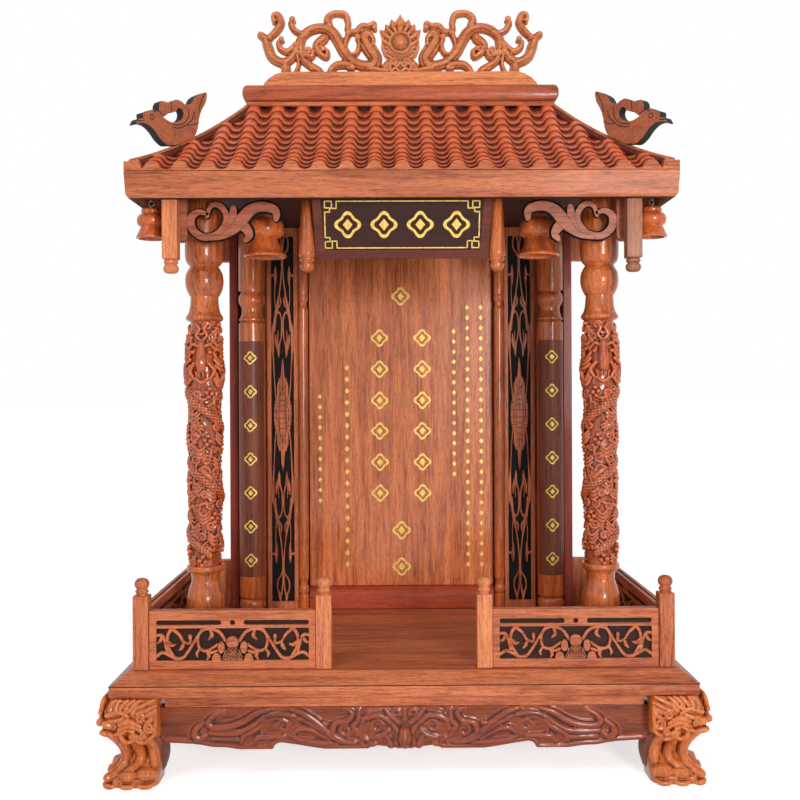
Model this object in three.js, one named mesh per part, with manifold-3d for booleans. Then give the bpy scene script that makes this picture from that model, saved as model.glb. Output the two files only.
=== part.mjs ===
// A free-standing household shrine in carved rosewood: four clawed legs carry a platform with a low
// fence, columns and a niche for an upright tablet, under a hipped tile roof with a carved ridge.
// Millimetres, +Z up, front towards -Y, origin on the floor under the centre.
import * as THREE from 'three';
import { mergeVertices } from 'three/addons/utils/BufferGeometryUtils.js';
import Module from 'manifold-3d';

const wasm = await Module();
wasm.setup();

// Clearance between neighbours that touch, how far a cut or a joined block runs past a face, and how
// close two points are to count as one.
const fitGap = 0.3;
const overrun = 1;
const weldDistance = 1e-4;

// Legs: a beast-mask knee on a clawed paw, one at each corner.
const legHeight = 64.5;
const legWidth = 45;
const legInset = 16.5;
const toeWidth = 13;
const toeHeight = 9.5;

// Platform: a bevelled board on a thinner waist board, with aprons below between the legs.
const platformLength = 434;
const platformDepth = 270;
const platformEdge = 9.5;
const platformBead = 1.2;
const bevelRun = 12;
const bevelDrop = 7.7;
const waistThickness = 8.2;
const waistInset = 8;
const apronHeight = 31.6;
const apronThickness = 12;
const apronInset = 8;

// Fence round the platform, open at the front between the two inner posts.
const fenceInset = 8;
const fenceHeight = 43.7;
const fenceThickness = 8;
const fencePost = 11.6;
const fencePostHeight = 55;
const finialHeight = 13;
const finialDiameter = 11;
const gateWidth = 109;
const fenceTopRail = 7.2;
const fenceSlotHeight = 3.6;
const fenceSlotGap = 17;
const fenceDot = 3.6;
const fenceMiddleRail = 2.4;
const fenceBottomRail = 6.3;
const fenceStile = 5.2;
const fencePocketDepth = 4;
const vineWidth = 2;

// Columns: two carved ones in front, two round ones with an inlaid strip, two slender ones.
const columnHeight = 363.4;
const dragonDiameter = 30.4;
const dragonInset = 40;
const dragonSetback = 42;
const coupletDiameter = 24.4;
const coupletInset = 15.3;
const coupletGap = 2.3;
const inlayBottom = 36;
const inlayLength = 218.4;
const inlayThickness = 2;
const slenderDiameter = 9.5;

// Niche at the back: side boards, lattice panels, the upright tablet on its ledge, the back board.
const nicheInset = 34;
const nicheDepth = 22;
const nicheSideThickness = 8;
const latticeWidth = 29;
const latticeThickness = 6;
const latticeStile = 3.8;
const latticePocketDepth = 3;
const latticeRail = 8;
const latticeBar = 2;
const tabletWidth = 176.4;
const tabletThickness = 12;
const ledgeHeight = 20.4;
const ledgeSetback = 1.5;
const backThickness = 10;
const beamHeight = 29;
const beamOverhang = 17;

// Name plaque, tilted forward under the eave, and the pieces that hang beside it.
const plaqueWidth = 139;
const plaqueHeight = 53;
const plaqueThickness = 8;
const plaqueSetback = 12;
const plaqueTilt = 18;
const plaqueFrame = 4;
const plaqueRecess = 1.6;
const innerPendantLength = 63;
const innerPendantDiameter = 13;
const innerPendantTop = 8.4;
const innerPendantSetback = 28.5;
const outerPendantLength = 66.4;
const outerPendantWidth = 11.6;
const outerPendantInset = 32;
const bracketHeight = 31.7;
const bracketDrop = 8.6;
const bracketThickness = 6;
const bracketStile = 8;
const bracketLap = 3.4;
const bracketSetback = 15.3;
const bracketEndGap = 11;

// Eave: a fascia frame closed by a ceiling board.
const eaveInset = 10;
const fasciaHeight = 20;
const fasciaThickness = 8;
const fasciaUndercut = 3;
const ceilingThickness = 8;

// Roof: four tiled slopes that meet at the hips, under two ridge boards and the ridge carving.
const tileEdge = 6.2;
const tileRelief = 5;
const tilePitch = 20.7;
const tileCourses = 11;
const courseStep = 1.5;
const courseLap = 0.6;
const roofRise = 73.5;
const frontSlopeRun = 103;
const endSlopeRun = 79.3;
const slopeThickness = 12;
const hipStrip = 5;
const ridgeLowerHeight = 14;
const ridgeLowerOverhang = 5.5;
const ridgeNose = 3;
const ridgeUpperHeight = 15.2;
const ridgeUpperInset = 15;
const ridgeUpperTaper = 18;
const ridgeUpperDepth = 30;
const carvingHeight = 55;
const carvingLength = 246;
const carvingThickness = 11;

// Phoenixes: flat sawn birds that stand on the hips and look outwards.
const phoenixLength = 70;
const phoenixHeight = 49;
const phoenixThickness = 8;
const phoenixHipShare = 0.39;

// Bells: turned wood, each on a wire loop in a screw eye under the ceiling.
const innerBellDiameter = 34.4;
const innerBellHeight = 37.6;
const innerBellDrop = 10;
const innerBellOffset = 46.7;
const innerBellSetback = 15;
const outerBellDiameter = 23.7;
const outerBellHeight = 23.5;
const outerBellDrop = 13.4;
const outerBellInset = 12;
const outerBellSetback = 37;
const wireDiameter = 1.2;
const loopDiameter = 4;
const shankDepth = 5;
const shankClearance = 0.3;
const bellWall = 3;
const bellMouthDepth = 9;

// How round the curved pieces are cut.
const columnSides = 12;
const slenderSides = 8;
const legSides = 12;
const toeSides = 6;
const loopSides = 8;
const wireSides = 4;

// Places that follow from the sizes.
const halfLength = platformLength / 2;
const halfDepth = platformDepth / 2;
const floorZ = legHeight + fitGap + platformEdge + bevelDrop;
const standZ = floorZ + fitGap;
const ceilingZ = standZ + columnHeight + fitGap;
const hangZ = ceilingZ - fitGap;
const fasciaBottomZ = ceilingZ + ceilingThickness - fasciaHeight;
const eaveTopZ = ceilingZ + ceilingThickness;
const eaveHalfLength = halfLength - eaveInset;
const eaveHalfDepth = halfDepth - eaveInset;
const legX = halfLength - legInset;
const legY = halfDepth - legInset;
const apronEndX = legX - legWidth / 2 - fitGap;
const apronEndY = legY - legWidth / 2 - fitGap;
const fenceX = halfLength - bevelRun - fenceInset;
const fenceY = halfDepth - bevelRun - fenceInset;
const innerPostX = gateWidth / 2 + fencePost / 2;
const dragonX = fenceX - dragonInset;
const dragonY = -fenceY + dragonSetback;
const backRearY = eaveHalfDepth - fasciaThickness - fitGap;
const backFrontY = backRearY - backThickness;
const nicheRearY = backFrontY - fitGap;
const nicheFrontY = nicheRearY - nicheDepth;
const nicheX = fenceX - nicheInset;
const coupletX = nicheX - nicheSideThickness - coupletInset;
const coupletY = nicheFrontY - coupletGap - coupletDiameter / 2;
const slenderX = tabletWidth / 2 + fitGap + slenderDiameter / 2;
const latticeX = slenderX + slenderDiameter / 2 + fitGap + latticeWidth / 2;
const innerPendantX = plaqueWidth / 2 + fitGap + innerPendantTop / 2;
const innerPendantY = -eaveHalfDepth + fasciaThickness + innerPendantSetback;
const outerPendantX = eaveHalfLength - outerPendantInset;
const outerPendantY = -eaveHalfDepth + fasciaThickness + fitGap + outerPendantWidth / 2;
const innerBellX = dragonX - innerBellOffset;
const innerBellY = dragonY + innerBellSetback;
const outerBellX = eaveHalfLength - outerBellInset;
const outerBellY = -eaveHalfDepth + outerBellSetback;
const slopeBottomZ = eaveTopZ + fitGap;
const ridgeZ = slopeBottomZ + tileEdge + roofRise;

// Woods and metals.
function wood(color, roughness) {
  return new THREE.MeshStandardMaterial({ color, roughness, metalness: 0 });
}
const mattRosewood = wood(0xa8603c, 0.5);
const glossRosewood = wood(0x99502f, 0.3);
const goldenRosewood = wood(0xa8683a, 0.35);
const darkInlay = wood(0x3c241d, 0.5);
const tileRosewood = wood(0xa6512e, 0.5);
const wire = new THREE.MeshStandardMaterial({ color: 0xb8b8b4, roughness: 0.3, metalness: 1 });

// A three.js geometry as a closed solid, and back.
function solid(geometry) {
  const bare = geometry.index ? geometry.toNonIndexed() : geometry.clone();
  bare.deleteAttribute('normal');
  bare.deleteAttribute('uv');
  const merged = mergeVertices(bare, weldDistance);
  const triVerts = new Uint32Array(merged.index.array);
  return new wasm.Manifold(new wasm.Mesh({
    numProp: 3,
    vertProperties: merged.attributes.position.array,
    triVerts,
  }));
}

function geometryOf(manifold) {
  const { vertProperties, triVerts } = manifold.getMesh();
  const geometry = new THREE.BufferGeometry();
  geometry.setAttribute('position', new THREE.BufferAttribute(vertProperties, 3));
  geometry.setIndex(new THREE.BufferAttribute(triVerts, 1));
  geometry.computeVertexNormals();
  return geometry;
}

function joined(geometries) {
  return geometries.map(solid).reduce((whole, piece) => whole.add(piece));
}

// A block between two opposite corners.
function block(x0, x1, y0, y1, z0, z1) {
  const geometry = new THREE.BoxGeometry(x1 - x0, y1 - y0, z1 - z0);
  return geometry.translate((x0 + x1) / 2, (y0 + y1) / 2, (z0 + z1) / 2);
}

// A turned piece standing on z = 0: rows of [share of the height, share of the diameter].
function turned(rows, height, diameter, sides) {
  const profile = rows.map(([up, out]) => new THREE.Vector2(out * diameter, up * height));
  profile.unshift(new THREE.Vector2(0, profile[0].y));
  profile.push(new THREE.Vector2(0, profile[profile.length - 1].y));
  return new THREE.LatheGeometry(profile, sides).rotateX(Math.PI / 2);
}

// A closed skin over rings of points, all rings with the same count, going up or along.
function skinned(rings) {
  const count = rings[0].length;
  const positions = rings.flat().flatMap((p) => [p.x, p.y, p.z]);
  const index = [];
  for (let ring = 0; ring + 1 < rings.length; ring++) {
    for (let i = 0; i < count; i++) {
      const a = ring * count + i;
      const b = ring * count + ((i + 1) % count);
      index.push(a, b, b + count, a, b + count, a + count);
    }
  }
  const last = (rings.length - 1) * count;
  for (let i = 1; i + 1 < count; i++) {
    index.push(0, i + 1, i, last, last + i, last + i + 1);
  }
  const geometry = new THREE.BufferGeometry();
  geometry.setAttribute('position', new THREE.Float32BufferAttribute(positions, 3));
  return geometry.setIndex(index);
}

// Rectangles of rising height, skinned: rows of [z, half length, half depth].
function tiered(rows) {
  return skinned(rows.map(([z, x, y]) => [
    new THREE.Vector3(-x, -y, z),
    new THREE.Vector3(x, -y, z),
    new THREE.Vector3(x, y, z),
    new THREE.Vector3(-x, y, z),
  ]));
}

// An upright board sawn to an outline in X and Z, from y towards the back.
function sawn(points, y, thickness, holes = []) {
  const shape = new THREE.Shape(points.map(([x, z]) => new THREE.Vector2(x, z)));
  for (const hole of holes) {
    shape.holes.push(new THREE.Path(hole.map(([x, z]) => new THREE.Vector2(x, z))));
  }
  const geometry = new THREE.ExtrudeGeometry(shape, { depth: thickness, bevelEnabled: false });
  return geometry.rotateX(Math.PI / 2).translate(0, y + thickness, 0);
}

// A carved strap of square section along a smooth line in X and Z: points of [x, z, width].
function strap(points, y, thickness) {
  const line = new THREE.CatmullRomCurve3(
    points.map(([x, z, width]) => new THREE.Vector3(x, width, z)), false, 'centripetal');
  const steps = points.length - 1;
  const rings = [];
  for (let i = 0; i <= steps; i++) {
    const at = line.getPoint(i / steps);
    const heading = line.getTangent(i / steps).setY(0).normalize();
    const side = new THREE.Vector3(heading.z, 0, -heading.x).multiplyScalar(at.y / 2);
    const middle = new THREE.Vector3(at.x, 0, at.z);
    rings.push([
      middle.clone().sub(side).setY(y),
      middle.clone().add(side).setY(y),
      middle.clone().add(side).setY(y + thickness),
      middle.clone().sub(side).setY(y + thickness),
    ]);
  }
  return skinned(rings);
}

// A round disc standing in X and Z.
function disc(x, z, radius, y, thickness, sides) {
  return new THREE.CylinderGeometry(radius, radius, thickness, sides).translate(x, y + thickness / 2, z);
}

// Strokes of [across share, up share, width share], placed from an origin and scaled to real sizes.
function placed(strokeShares, originX, originZ, across, up, widthUnit) {
  return strokeShares.map((stroke) => stroke.map(([u, v, w]) => [
    originX + u * across,
    originZ + v * up,
    w * widthUnit,
  ]));
}

const shrine = new THREE.Group();
const sides = [['left', -1], ['right', 1]];
const ends = [['front', 1], ['rear', -1]];

function add(name, geometry, material, parent = shrine) {
  const mesh = new THREE.Mesh(geometry, material);
  mesh.name = name;
  parent.add(mesh);
  return mesh;
}

// The same piece on both sides: drawn for +X and mirrored for -X.
function addPair(name, geometry, material, parent = shrine) {
  for (const [side, sign] of sides) {
    add(`${name}_${side}`, geometry, material, parent).scale.x = sign;
  }
}

// The same piece at all four corners: drawn for +X and -Y.
function addCorners(name, geometry, material) {
  for (const [end, sign] of ends) {
    const half = new THREE.Group();
    half.scale.y = sign;
    shrine.add(half);
    addPair(`${name}_${end}`, geometry, material, half);
  }
}

// Legs: rings of [height share, outward shift share, half width share], square with round corners.
const legRingShares = [
  [0, -0.01, 0.45], [0.1, 0, 0.47], [0.22, -0.06, 0.44], [0.4, -0.12, 0.38], [0.53, -0.067, 0.433],
  [0.62, 0.011, 0.489], [0.8, 0, 0.5], [0.93, -0.011, 0.456], [1, -0.033, 0.433],
];
const legCornerPower = 4;
// Toes along the two outer faces: [place along the face, reach out to the face] in shares of the
// width, and where the fullest part of a toe lies in its height.
const toeShares = [[-0.16, 0.44], [0.14, 0.44], [0.38, 0.38]];
const toeRiseShare = 0.4;

function leg() {
  const rings = legRingShares.map(([up, shift, half]) => {
    const ring = [];
    for (let i = 0; i < legSides; i++) {
      const angle = (2 * Math.PI * i) / legSides;
      const c = Math.cos(angle);
      const s = Math.sin(angle);
      const reach = half * legWidth
        / (Math.abs(c) ** legCornerPower + Math.abs(s) ** legCornerPower) ** (1 / legCornerPower);
      ring.push(new THREE.Vector3(
        legX + shift * legWidth + c * reach,
        -legY - shift * legWidth + s * reach,
        up * legHeight,
      ));
    }
    return ring;
  });
  const places = toeShares.flatMap(([along, out]) => (along === out ? [[along, out]]
    : [[along, out], [out, along]]));
  let whole = solid(skinned(rings));
  for (const [out, side] of places) {
    const toe = new THREE.SphereGeometry(1, toeSides, toeSides - 2)
      .scale(toeWidth / 2, toeWidth / 2, toeHeight * (1 - toeRiseShare))
      .translate(legX + out * legWidth, -legY - side * legWidth, toeHeight * toeRiseShare);
    whole = whole.add(solid(toe));
  }
  const floor = block(legX - legWidth, legX + legWidth, -legY - legWidth, -legY + legWidth, -toeHeight, 0);
  return geometryOf(whole.subtract(solid(floor)));
}
addCorners('leg', leg(), goldenRosewood);

// Waist board: a slab notched at the corners for the legs.
const waistTopZ = legHeight;
const waistBottomZ = waistTopZ - waistThickness;
const waistX = halfLength - waistInset;
const waistY = halfDepth - waistInset;
const waistOutline = [
  [-waistX, -apronEndY], [-apronEndX, -apronEndY], [-apronEndX, -waistY], [apronEndX, -waistY],
  [apronEndX, -apronEndY], [waistX, -apronEndY], [waistX, apronEndY], [apronEndX, apronEndY],
  [apronEndX, waistY], [-apronEndX, waistY], [-apronEndX, apronEndY], [-waistX, apronEndY],
];
const waistShape = new THREE.Shape(waistOutline.map(([x, y]) => new THREE.Vector2(x, y)));
const waist = new THREE.ExtrudeGeometry(waistShape, { depth: waistThickness, bevelEnabled: false });
add('waist_board', waist.translate(0, 0, waistBottomZ), mattRosewood);

// Platform board: square edge with a bead, then a long bevel up to the floor of the shrine.
const platformBottomZ = legHeight + fitGap;
const bevelBottomZ = floorZ - bevelDrop;
add('platform_board', tiered([
  [platformBottomZ, halfLength - platformBead, halfDepth - platformBead],
  [platformBottomZ + platformBead, halfLength, halfDepth],
  [bevelBottomZ - platformBead, halfLength, halfDepth],
  [bevelBottomZ, halfLength - platformBead, halfDepth - platformBead],
  [floorZ, halfLength - bevelRun, halfDepth - bevelRun],
]), mattRosewood);

// Aprons: the lower edge is a row of shallow curves with a step. [outward share, drop share].
const apronEdgeShares = [
  [0, 1], [0.06, 0.96], [0.124, 0.92], [0.16, 0.95], [0.2, 0.975], [0.3, 0.975], [0.36, 0.94],
  [0.42, 0.88], [0.48, 0.83], [0.515, 0.81], [0.54, 0.88], [0.55, 0.98], [0.6, 0.995], [0.66, 0.975],
  [0.73, 0.92], [0.8, 0.9], [0.83, 0.85], [0.9, 0.82], [1, 0.788],
];
const apronTopZ = waistBottomZ - fitGap;

function apron(halfSpan, faceY) {
  const edge = apronEdgeShares.map(([out, drop]) => [out * halfSpan, apronTopZ - drop * apronHeight]);
  const mirrored = edge.slice(1).reverse().map(([x, z]) => [-x, z]);
  const outline = [[-halfSpan, apronTopZ], ...mirrored, ...edge, [halfSpan, apronTopZ]];
  return sawn(outline, -faceY, apronThickness);
}
const longApron = apron(apronEndX, halfDepth - apronInset);
const shortApron = apron(apronEndY, halfLength - apronInset);
add('apron_front', longApron, mattRosewood);
add('apron_rear', longApron, mattRosewood).rotation.z = Math.PI;
add('apron_left', shortApron, mattRosewood).rotation.z = -Math.PI / 2;
add('apron_right', shortApron, mattRosewood).rotation.z = Math.PI / 2;

// Fence posts: square, with a turned knob on top.
const finialNeckShare = 0.36;
const finialShares = [
  [0.08, finialNeckShare], [0.22, 0.46], [0.34, 0.36], [0.6, 0.5], [0.85, 0.43], [1, 0.15],
];
const postFoot = standZ;
function fencePostSolid(x, y) {
  const post = block(x - fencePost / 2, x + fencePost / 2, y - fencePost / 2, y + fencePost / 2,
    postFoot, postFoot + fencePostHeight);
  const rows = [[-overrun / finialHeight, finialNeckShare], ...finialShares];
  const knob = turned(rows, finialHeight, finialDiameter, slenderSides)
    .translate(x, y, postFoot + fencePostHeight);
  return joined([post, knob]);
}
addPair('front_post_outer', geometryOf(fencePostSolid(fenceX, -fenceY)), mattRosewood);
addPair('front_post_inner', geometryOf(fencePostSolid(innerPostX, -fenceY)), mattRosewood);

// Fence panels: slots above, and below them a pocket with vines and a lotus. Vines are in shares of
// half the pocket's width and of its height, the lotus in shares of the height alone.
const vineShares = [
  [[0.09, 0.6, 1], [0.18, 0.89, 1], [0.32, 0.98, 1], [0.42, 0.88, 0.9], [0.457, 0.65, 0.9],
    [0.43, 0.37, 0.9], [0.335, 0.3, 0.9], [0.24, 0.42, 0.8]],
  [[0.4, 0.95, 0.9], [0.47, 0.7, 0.9], [0.58, 0.29, 0.9], [0.65, 0.09, 1], [0.74, 0.06, 1.1],
    [0.91, 0.25, 1], [1.02, 0.1, 1]],
  [[0.79, 1.02, 1.2], [0.85, 0.78, 1], [0.85, 0.45, 1], [0.776, 0.12, 1]],
  [[0.79, 0.99, 1.2], [0.7, 0.8, 0.9], [0.64, 0.58, 0.8], [0.56, 0.54, 0.8], [0.556, 0.75, 1.1]],
  [[1.02, 0.77, 0.9], [0.925, 0.78, 0.9], [0.88, 0.5, 0.9], [0.852, 0.2, 0.9]],
];
const lotusShares = [[0, 0.56, 0.19], [0.355, 0.4, 0.14], [0.5, 0.1, 0.15], [0, 0.2, 0.3]];
const petalSides = 8;

function fencePanel(halfSpan) {
  const bottomZ = standZ;
  const topZ = bottomZ + fenceHeight;
  const frontY = -fenceThickness / 2;
  const pocketX = halfSpan - fenceStile;
  const pocketBottomZ = bottomZ + fenceBottomRail;
  const slotTopZ = topZ - fenceTopRail;
  const slotBottomZ = slotTopZ - fenceSlotHeight;
  const pocketTopZ = slotBottomZ - fenceMiddleRail;
  const pocketHeight = pocketTopZ - pocketBottomZ;
  const cutFrontY = frontY - overrun;
  const cutBackY = frontY + fencePocketDepth;
  const slotInnerX = fenceSlotGap / 2;
  const board = solid(block(-halfSpan, halfSpan, frontY, frontY + fenceThickness, bottomZ, topZ));
  const cuts = [
    block(-pocketX, pocketX, cutFrontY, cutBackY, pocketBottomZ, pocketTopZ),
    block(slotInnerX, pocketX, cutFrontY, cutBackY, slotBottomZ, slotTopZ),
    block(-pocketX, -slotInnerX, cutFrontY, cutBackY, slotBottomZ, slotTopZ),
    disc(0, (slotTopZ + slotBottomZ) / 2, fenceDot / 2, cutFrontY, cutBackY - cutFrontY, petalSides),
  ];
  let panel = cuts.reduce((rest, cut) => rest.subtract(solid(cut)), board);
  const reliefThickness = fencePocketDepth + overrun;
  for (const sign of [-1, 1]) {
    for (const vine of placed(vineShares, 0, pocketBottomZ, sign * pocketX, pocketHeight, vineWidth)) {
      panel = panel.add(solid(strap(vine, frontY, reliefThickness)));
    }
    for (const [out, up, radius] of lotusShares) {
      panel = panel.add(solid(disc(sign * out * pocketHeight, pocketBottomZ + up * pocketHeight,
        radius * pocketHeight, frontY, reliefThickness, petalSides)));
    }
  }
  return geometryOf(panel.intersect(board));
}
const frontPanelInnerX = innerPostX + fencePost / 2 + fitGap;
const frontPanelOuterX = fenceX - fencePost / 2 - fitGap;
const frontPanel = fencePanel((frontPanelOuterX - frontPanelInnerX) / 2);
frontPanel.translate((frontPanelOuterX + frontPanelInnerX) / 2, -fenceY, 0);
addPair('fence_front', frontPanel, mattRosewood);
const sidePanelFrontY = -fenceY + fencePost / 2 + fitGap;
const sidePanelRearY = backFrontY - fitGap;
const sidePanel = fencePanel((sidePanelRearY - sidePanelFrontY) / 2);
sidePanel.rotateZ(Math.PI / 2).translate(fenceX, (sidePanelRearY + sidePanelFrontY) / 2, 0);
addPair('fence_side', sidePanel, mattRosewood);

// Back board: the closed back of the niche, with the rear fence as a wing below, a beam above, and
// the two rear corner posts fixed to it.
const backWingZ = standZ + fenceHeight;
const beamX = nicheX + beamOverhang;
const beamBottomZ = hangZ - beamHeight;
const backOutline = [
  [-fenceX, standZ], [fenceX, standZ], [fenceX, backWingZ], [nicheX, backWingZ], [nicheX, beamBottomZ],
  [beamX, beamBottomZ], [beamX, hangZ], [-beamX, hangZ], [-beamX, beamBottomZ], [-nicheX, beamBottomZ],
  [-nicheX, backWingZ], [-fenceX, backWingZ],
];
const backBoard = solid(sawn(backOutline, backFrontY, backThickness))
  .add(fencePostSolid(fenceX, fenceY)).add(fencePostSolid(-fenceX, fenceY));
add('back_board', geometryOf(backBoard), mattRosewood);

// Carved columns: base ring, vase, collar, the carved shaft with the dragon's head, flare, ball, drum.
const dragonShares = [
  [0, 0.5], [0.016, 0.5], [0.022, 0.41], [0.04, 0.345], [0.06, 0.395], [0.082, 0.46], [0.107, 0.493],
  [0.126, 0.48], [0.145, 0.415], [0.159, 0.362], [0.173, 0.37], [0.181, 0.4], [0.184, 0.478],
  [0.19, 0.487], [0.195, 0.42], [0.3, 0.45], [0.42, 0.43], [0.57, 0.45], [0.593, 0.48], [0.62, 0.545],
  [0.648, 0.53], [0.68, 0.44], [0.722, 0.41], [0.727, 0.47], [0.734, 0.48], [0.742, 0.42],
  [0.757, 0.38], [0.775, 0.38], [0.783, 0.415], [0.795, 0.474], [0.811, 0.488], [0.828, 0.467],
  [0.842, 0.4], [0.846, 0.4], [0.849, 0.48], [0.857, 0.5], [1, 0.5],
];
addPair('dragon_column', turned(dragonShares, columnHeight, dragonDiameter, columnSides)
  .translate(dragonX, dragonY, standZ), glossRosewood);

// Couplet columns: round, with a dark curved strip let into the front. Nothing is written on it.
const coupletShares = [
  [0, 0.5], [0.008, 0.5], [0.012, 0.43], [0.017, 0.484], [0.026, 0.508], [0.036, 0.475], [0.041, 0.41],
  [0.044, 0.41], [0.048, 0.5], [0.747, 0.5], [0.75, 0.43], [0.754, 0.488], [0.758, 0.49], [0.762, 0.443],
  [0.775, 0.385], [0.786, 0.393], [0.791, 0.426], [0.799, 0.488], [0.808, 0.504], [0.817, 0.484],
  [0.825, 0.418], [0.828, 0.418], [0.831, 0.5], [1, 0.5],
];
const inlayHalfDegrees = 70;
const inlayHalfAngle = (inlayHalfDegrees * Math.PI) / 180;
const inlaySteps = 10;

// A curved strip round the front of a column: a sector between two radii, extruded upwards.
function frontSector(outerRadius, innerRadius, halfAngle, z, height) {
  const shape = new THREE.Shape();
  const middle = -Math.PI / 2;
  const arc = (radius, from, to) => Array.from({ length: inlaySteps + 1 }, (_, i) => {
    const angle = from + ((to - from) * i) / inlaySteps;
    return new THREE.Vector2(radius * Math.cos(angle), radius * Math.sin(angle));
  });
  shape.setFromPoints([
    ...arc(outerRadius, middle - halfAngle, middle + halfAngle),
    ...arc(innerRadius, middle + halfAngle, middle - halfAngle),
  ]);
  return new THREE.ExtrudeGeometry(shape, { depth: height, bevelEnabled: false }).translate(0, 0, z);
}
const coupletRadius = coupletDiameter / 2;
const inlayRadius = coupletRadius - inlayThickness;
const inlayGapAngle = fitGap / inlayRadius;
const coupletBed = frontSector(coupletDiameter, inlayRadius - fitGap, inlayHalfAngle + inlayGapAngle,
  inlayBottom - fitGap, inlayLength + 2 * fitGap);
const coupletColumn = solid(turned(coupletShares, columnHeight, coupletDiameter, columnSides))
  .subtract(solid(coupletBed));
const coupletInlay = frontSector(coupletRadius, inlayRadius, inlayHalfAngle, inlayBottom, inlayLength);
addPair('couplet_column', geometryOf(coupletColumn).translate(coupletX, coupletY, standZ), glossRosewood);
addPair('couplet_inlay', coupletInlay.translate(coupletX, coupletY, standZ), darkInlay);

// Slender columns beside the tablet, turned with a bead and a ring near each end.
const slenderEndShares = [
  [0, 0.5], [0.038, 0.5], [0.041, 0.39], [0.047, 0.5], [0.054, 0.53], [0.062, 0.48], [0.066, 0.39],
  [0.077, 0.4], [0.084, 0.51], [0.089, 0.5],
];
const slenderDrumShare = 0.13;
const slenderShares = [
  ...slenderEndShares,
  ...slenderEndShares.slice(1).reverse().map(([up, out]) => [1 - up - slenderDrumShare, out]),
  [1, 0.5],
];
addPair('slender_column', turned(slenderShares, columnHeight, slenderDiameter, slenderSides)
  .translate(slenderX, nicheFrontY, standZ), glossRosewood);

// Niche side boards.
const nicheSide = block(nicheX - nicheSideThickness, nicheX, nicheFrontY, nicheRearY, standZ, hangZ);
addPair('niche_side', nicheSide, mattRosewood);

// Lattice panels: a pocket with drawn-out loops round a central stem, in shares of half the pocket's
// width and of half its height, drawn for the upper right quarter.
const loopShares = [
  [[0, 0.02, 2.4], [0, 0.2, 2], [0, 0.33, 0.8], [0, 0.38, 1.2], [0, 0.5, 0.9], [0, 0.62, 1.2],
    [0, 0.78, 0.8], [0, 1.01, 0.8]],
  [[0.2, 0.2, 1.5], [0.66, 0.28, 0.8], [0.74, 0.42, 0.7], [0.62, 0.52, 0.8], [0.3, 0.56, 0.8], [0, 0.58, 0.8]],
  [[0, 0.44, 0.8], [0.3, 0.47, 0.8], [0.62, 0.56, 0.8], [0.74, 0.68, 0.7], [0.5, 0.82, 0.8], [0.16, 0.94, 0.7],
    [0.1, 1.01, 0.7]],
  [[0, 0.06, 2.4], [0.6, 0.08, 1.6], [0.5, 0.17, 1.4], [0, 0.2, 1.6]],
];
const latticePocketX = latticeWidth / 2 - latticeStile;
const latticeMiddleZ = (standZ + hangZ) / 2;
const latticePocketHalf = (hangZ - standZ) / 2 - latticeRail;
const latticeHalf = latticeWidth / 2;
const latticeBoard = solid(block(-latticeHalf, latticeHalf, nicheFrontY, nicheFrontY + latticeThickness,
  standZ, hangZ));
const latticePocket = block(-latticePocketX, latticePocketX, nicheFrontY - overrun,
  nicheFrontY + latticePocketDepth, latticeMiddleZ - latticePocketHalf, latticeMiddleZ + latticePocketHalf);
let lattice = latticeBoard.subtract(solid(latticePocket));
for (const across of [-1, 1]) {
  for (const up of [-1, 1]) {
    for (const loop of placed(loopShares, 0, latticeMiddleZ, across * latticePocketX,
      up * latticePocketHalf, latticeBar)) {
      lattice = lattice.add(solid(strap(loop, nicheFrontY, latticePocketDepth + overrun)));
    }
  }
}
const latticePanel = geometryOf(lattice.intersect(latticeBoard)).translate(latticeX, 0, 0);
addPair('lattice_panel', latticePanel, mattRosewood);

// The tablet stands on its ledge against the back board. Its face is bare.
const tabletX = tabletWidth / 2;
const ledgeTopZ = standZ + ledgeHeight;
const ledgeFrontY = nicheFrontY + ledgeSetback;
const ledgeNoseShares = [[0, 0], [0, 0.6], [0.06, 0.82], [0.18, 0.95], [0.34, 1], [1, 1], [1, 0]];
const ledgeDepth = nicheRearY - ledgeFrontY;
const ledgeShape = new THREE.Shape(ledgeNoseShares.map(([back, up]) => new THREE.Vector2(
  ledgeFrontY + back * ledgeDepth, standZ + up * ledgeHeight)));
const ledge = new THREE.ExtrudeGeometry(ledgeShape, { depth: tabletWidth, bevelEnabled: false })
  .applyMatrix4(new THREE.Matrix4().set(0, 0, 1, -tabletX, 1, 0, 0, 0, 0, 1, 0, 0, 0, 0, 0, 1));
add('tablet_ledge', ledge, mattRosewood);
add('tablet_board', block(-tabletX, tabletX, nicheRearY - tabletThickness, nicheRearY,
  ledgeTopZ + fitGap, hangZ), glossRosewood);

// Eave: the fascia leans in below, and the ceiling closes it. Screw holes are drilled for the eyes.
const eaveOuter = tiered([
  [fasciaBottomZ, eaveHalfLength - fasciaUndercut, eaveHalfDepth - fasciaUndercut],
  [fasciaBottomZ + fasciaUndercut, eaveHalfLength - fasciaUndercut / 3, eaveHalfDepth - fasciaUndercut / 3],
  [eaveTopZ, eaveHalfLength, eaveHalfDepth],
]);
const eaveRecess = block(-eaveHalfLength + fasciaThickness, eaveHalfLength - fasciaThickness,
  -eaveHalfDepth + fasciaThickness, eaveHalfDepth - fasciaThickness, fasciaBottomZ - overrun, ceilingZ);
let eave = solid(eaveOuter).subtract(solid(eaveRecess));
const shankHole = new THREE.CylinderGeometry(wireDiameter / 2 + shankClearance,
  wireDiameter / 2 + shankClearance, shankDepth + fitGap + overrun, wireSides).rotateX(Math.PI / 2);
const shankHoleZ = ceilingZ + (shankDepth + fitGap - overrun) / 2;
for (const [x, y] of [[innerBellX, innerBellY], [outerBellX, outerBellY]]) {
  for (const [, sign] of sides) {
    eave = eave.subtract(solid(shankHole.clone().translate(sign * x, y, shankHoleZ)));
  }
}
add('eave_frame', geometryOf(eave), mattRosewood);

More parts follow.
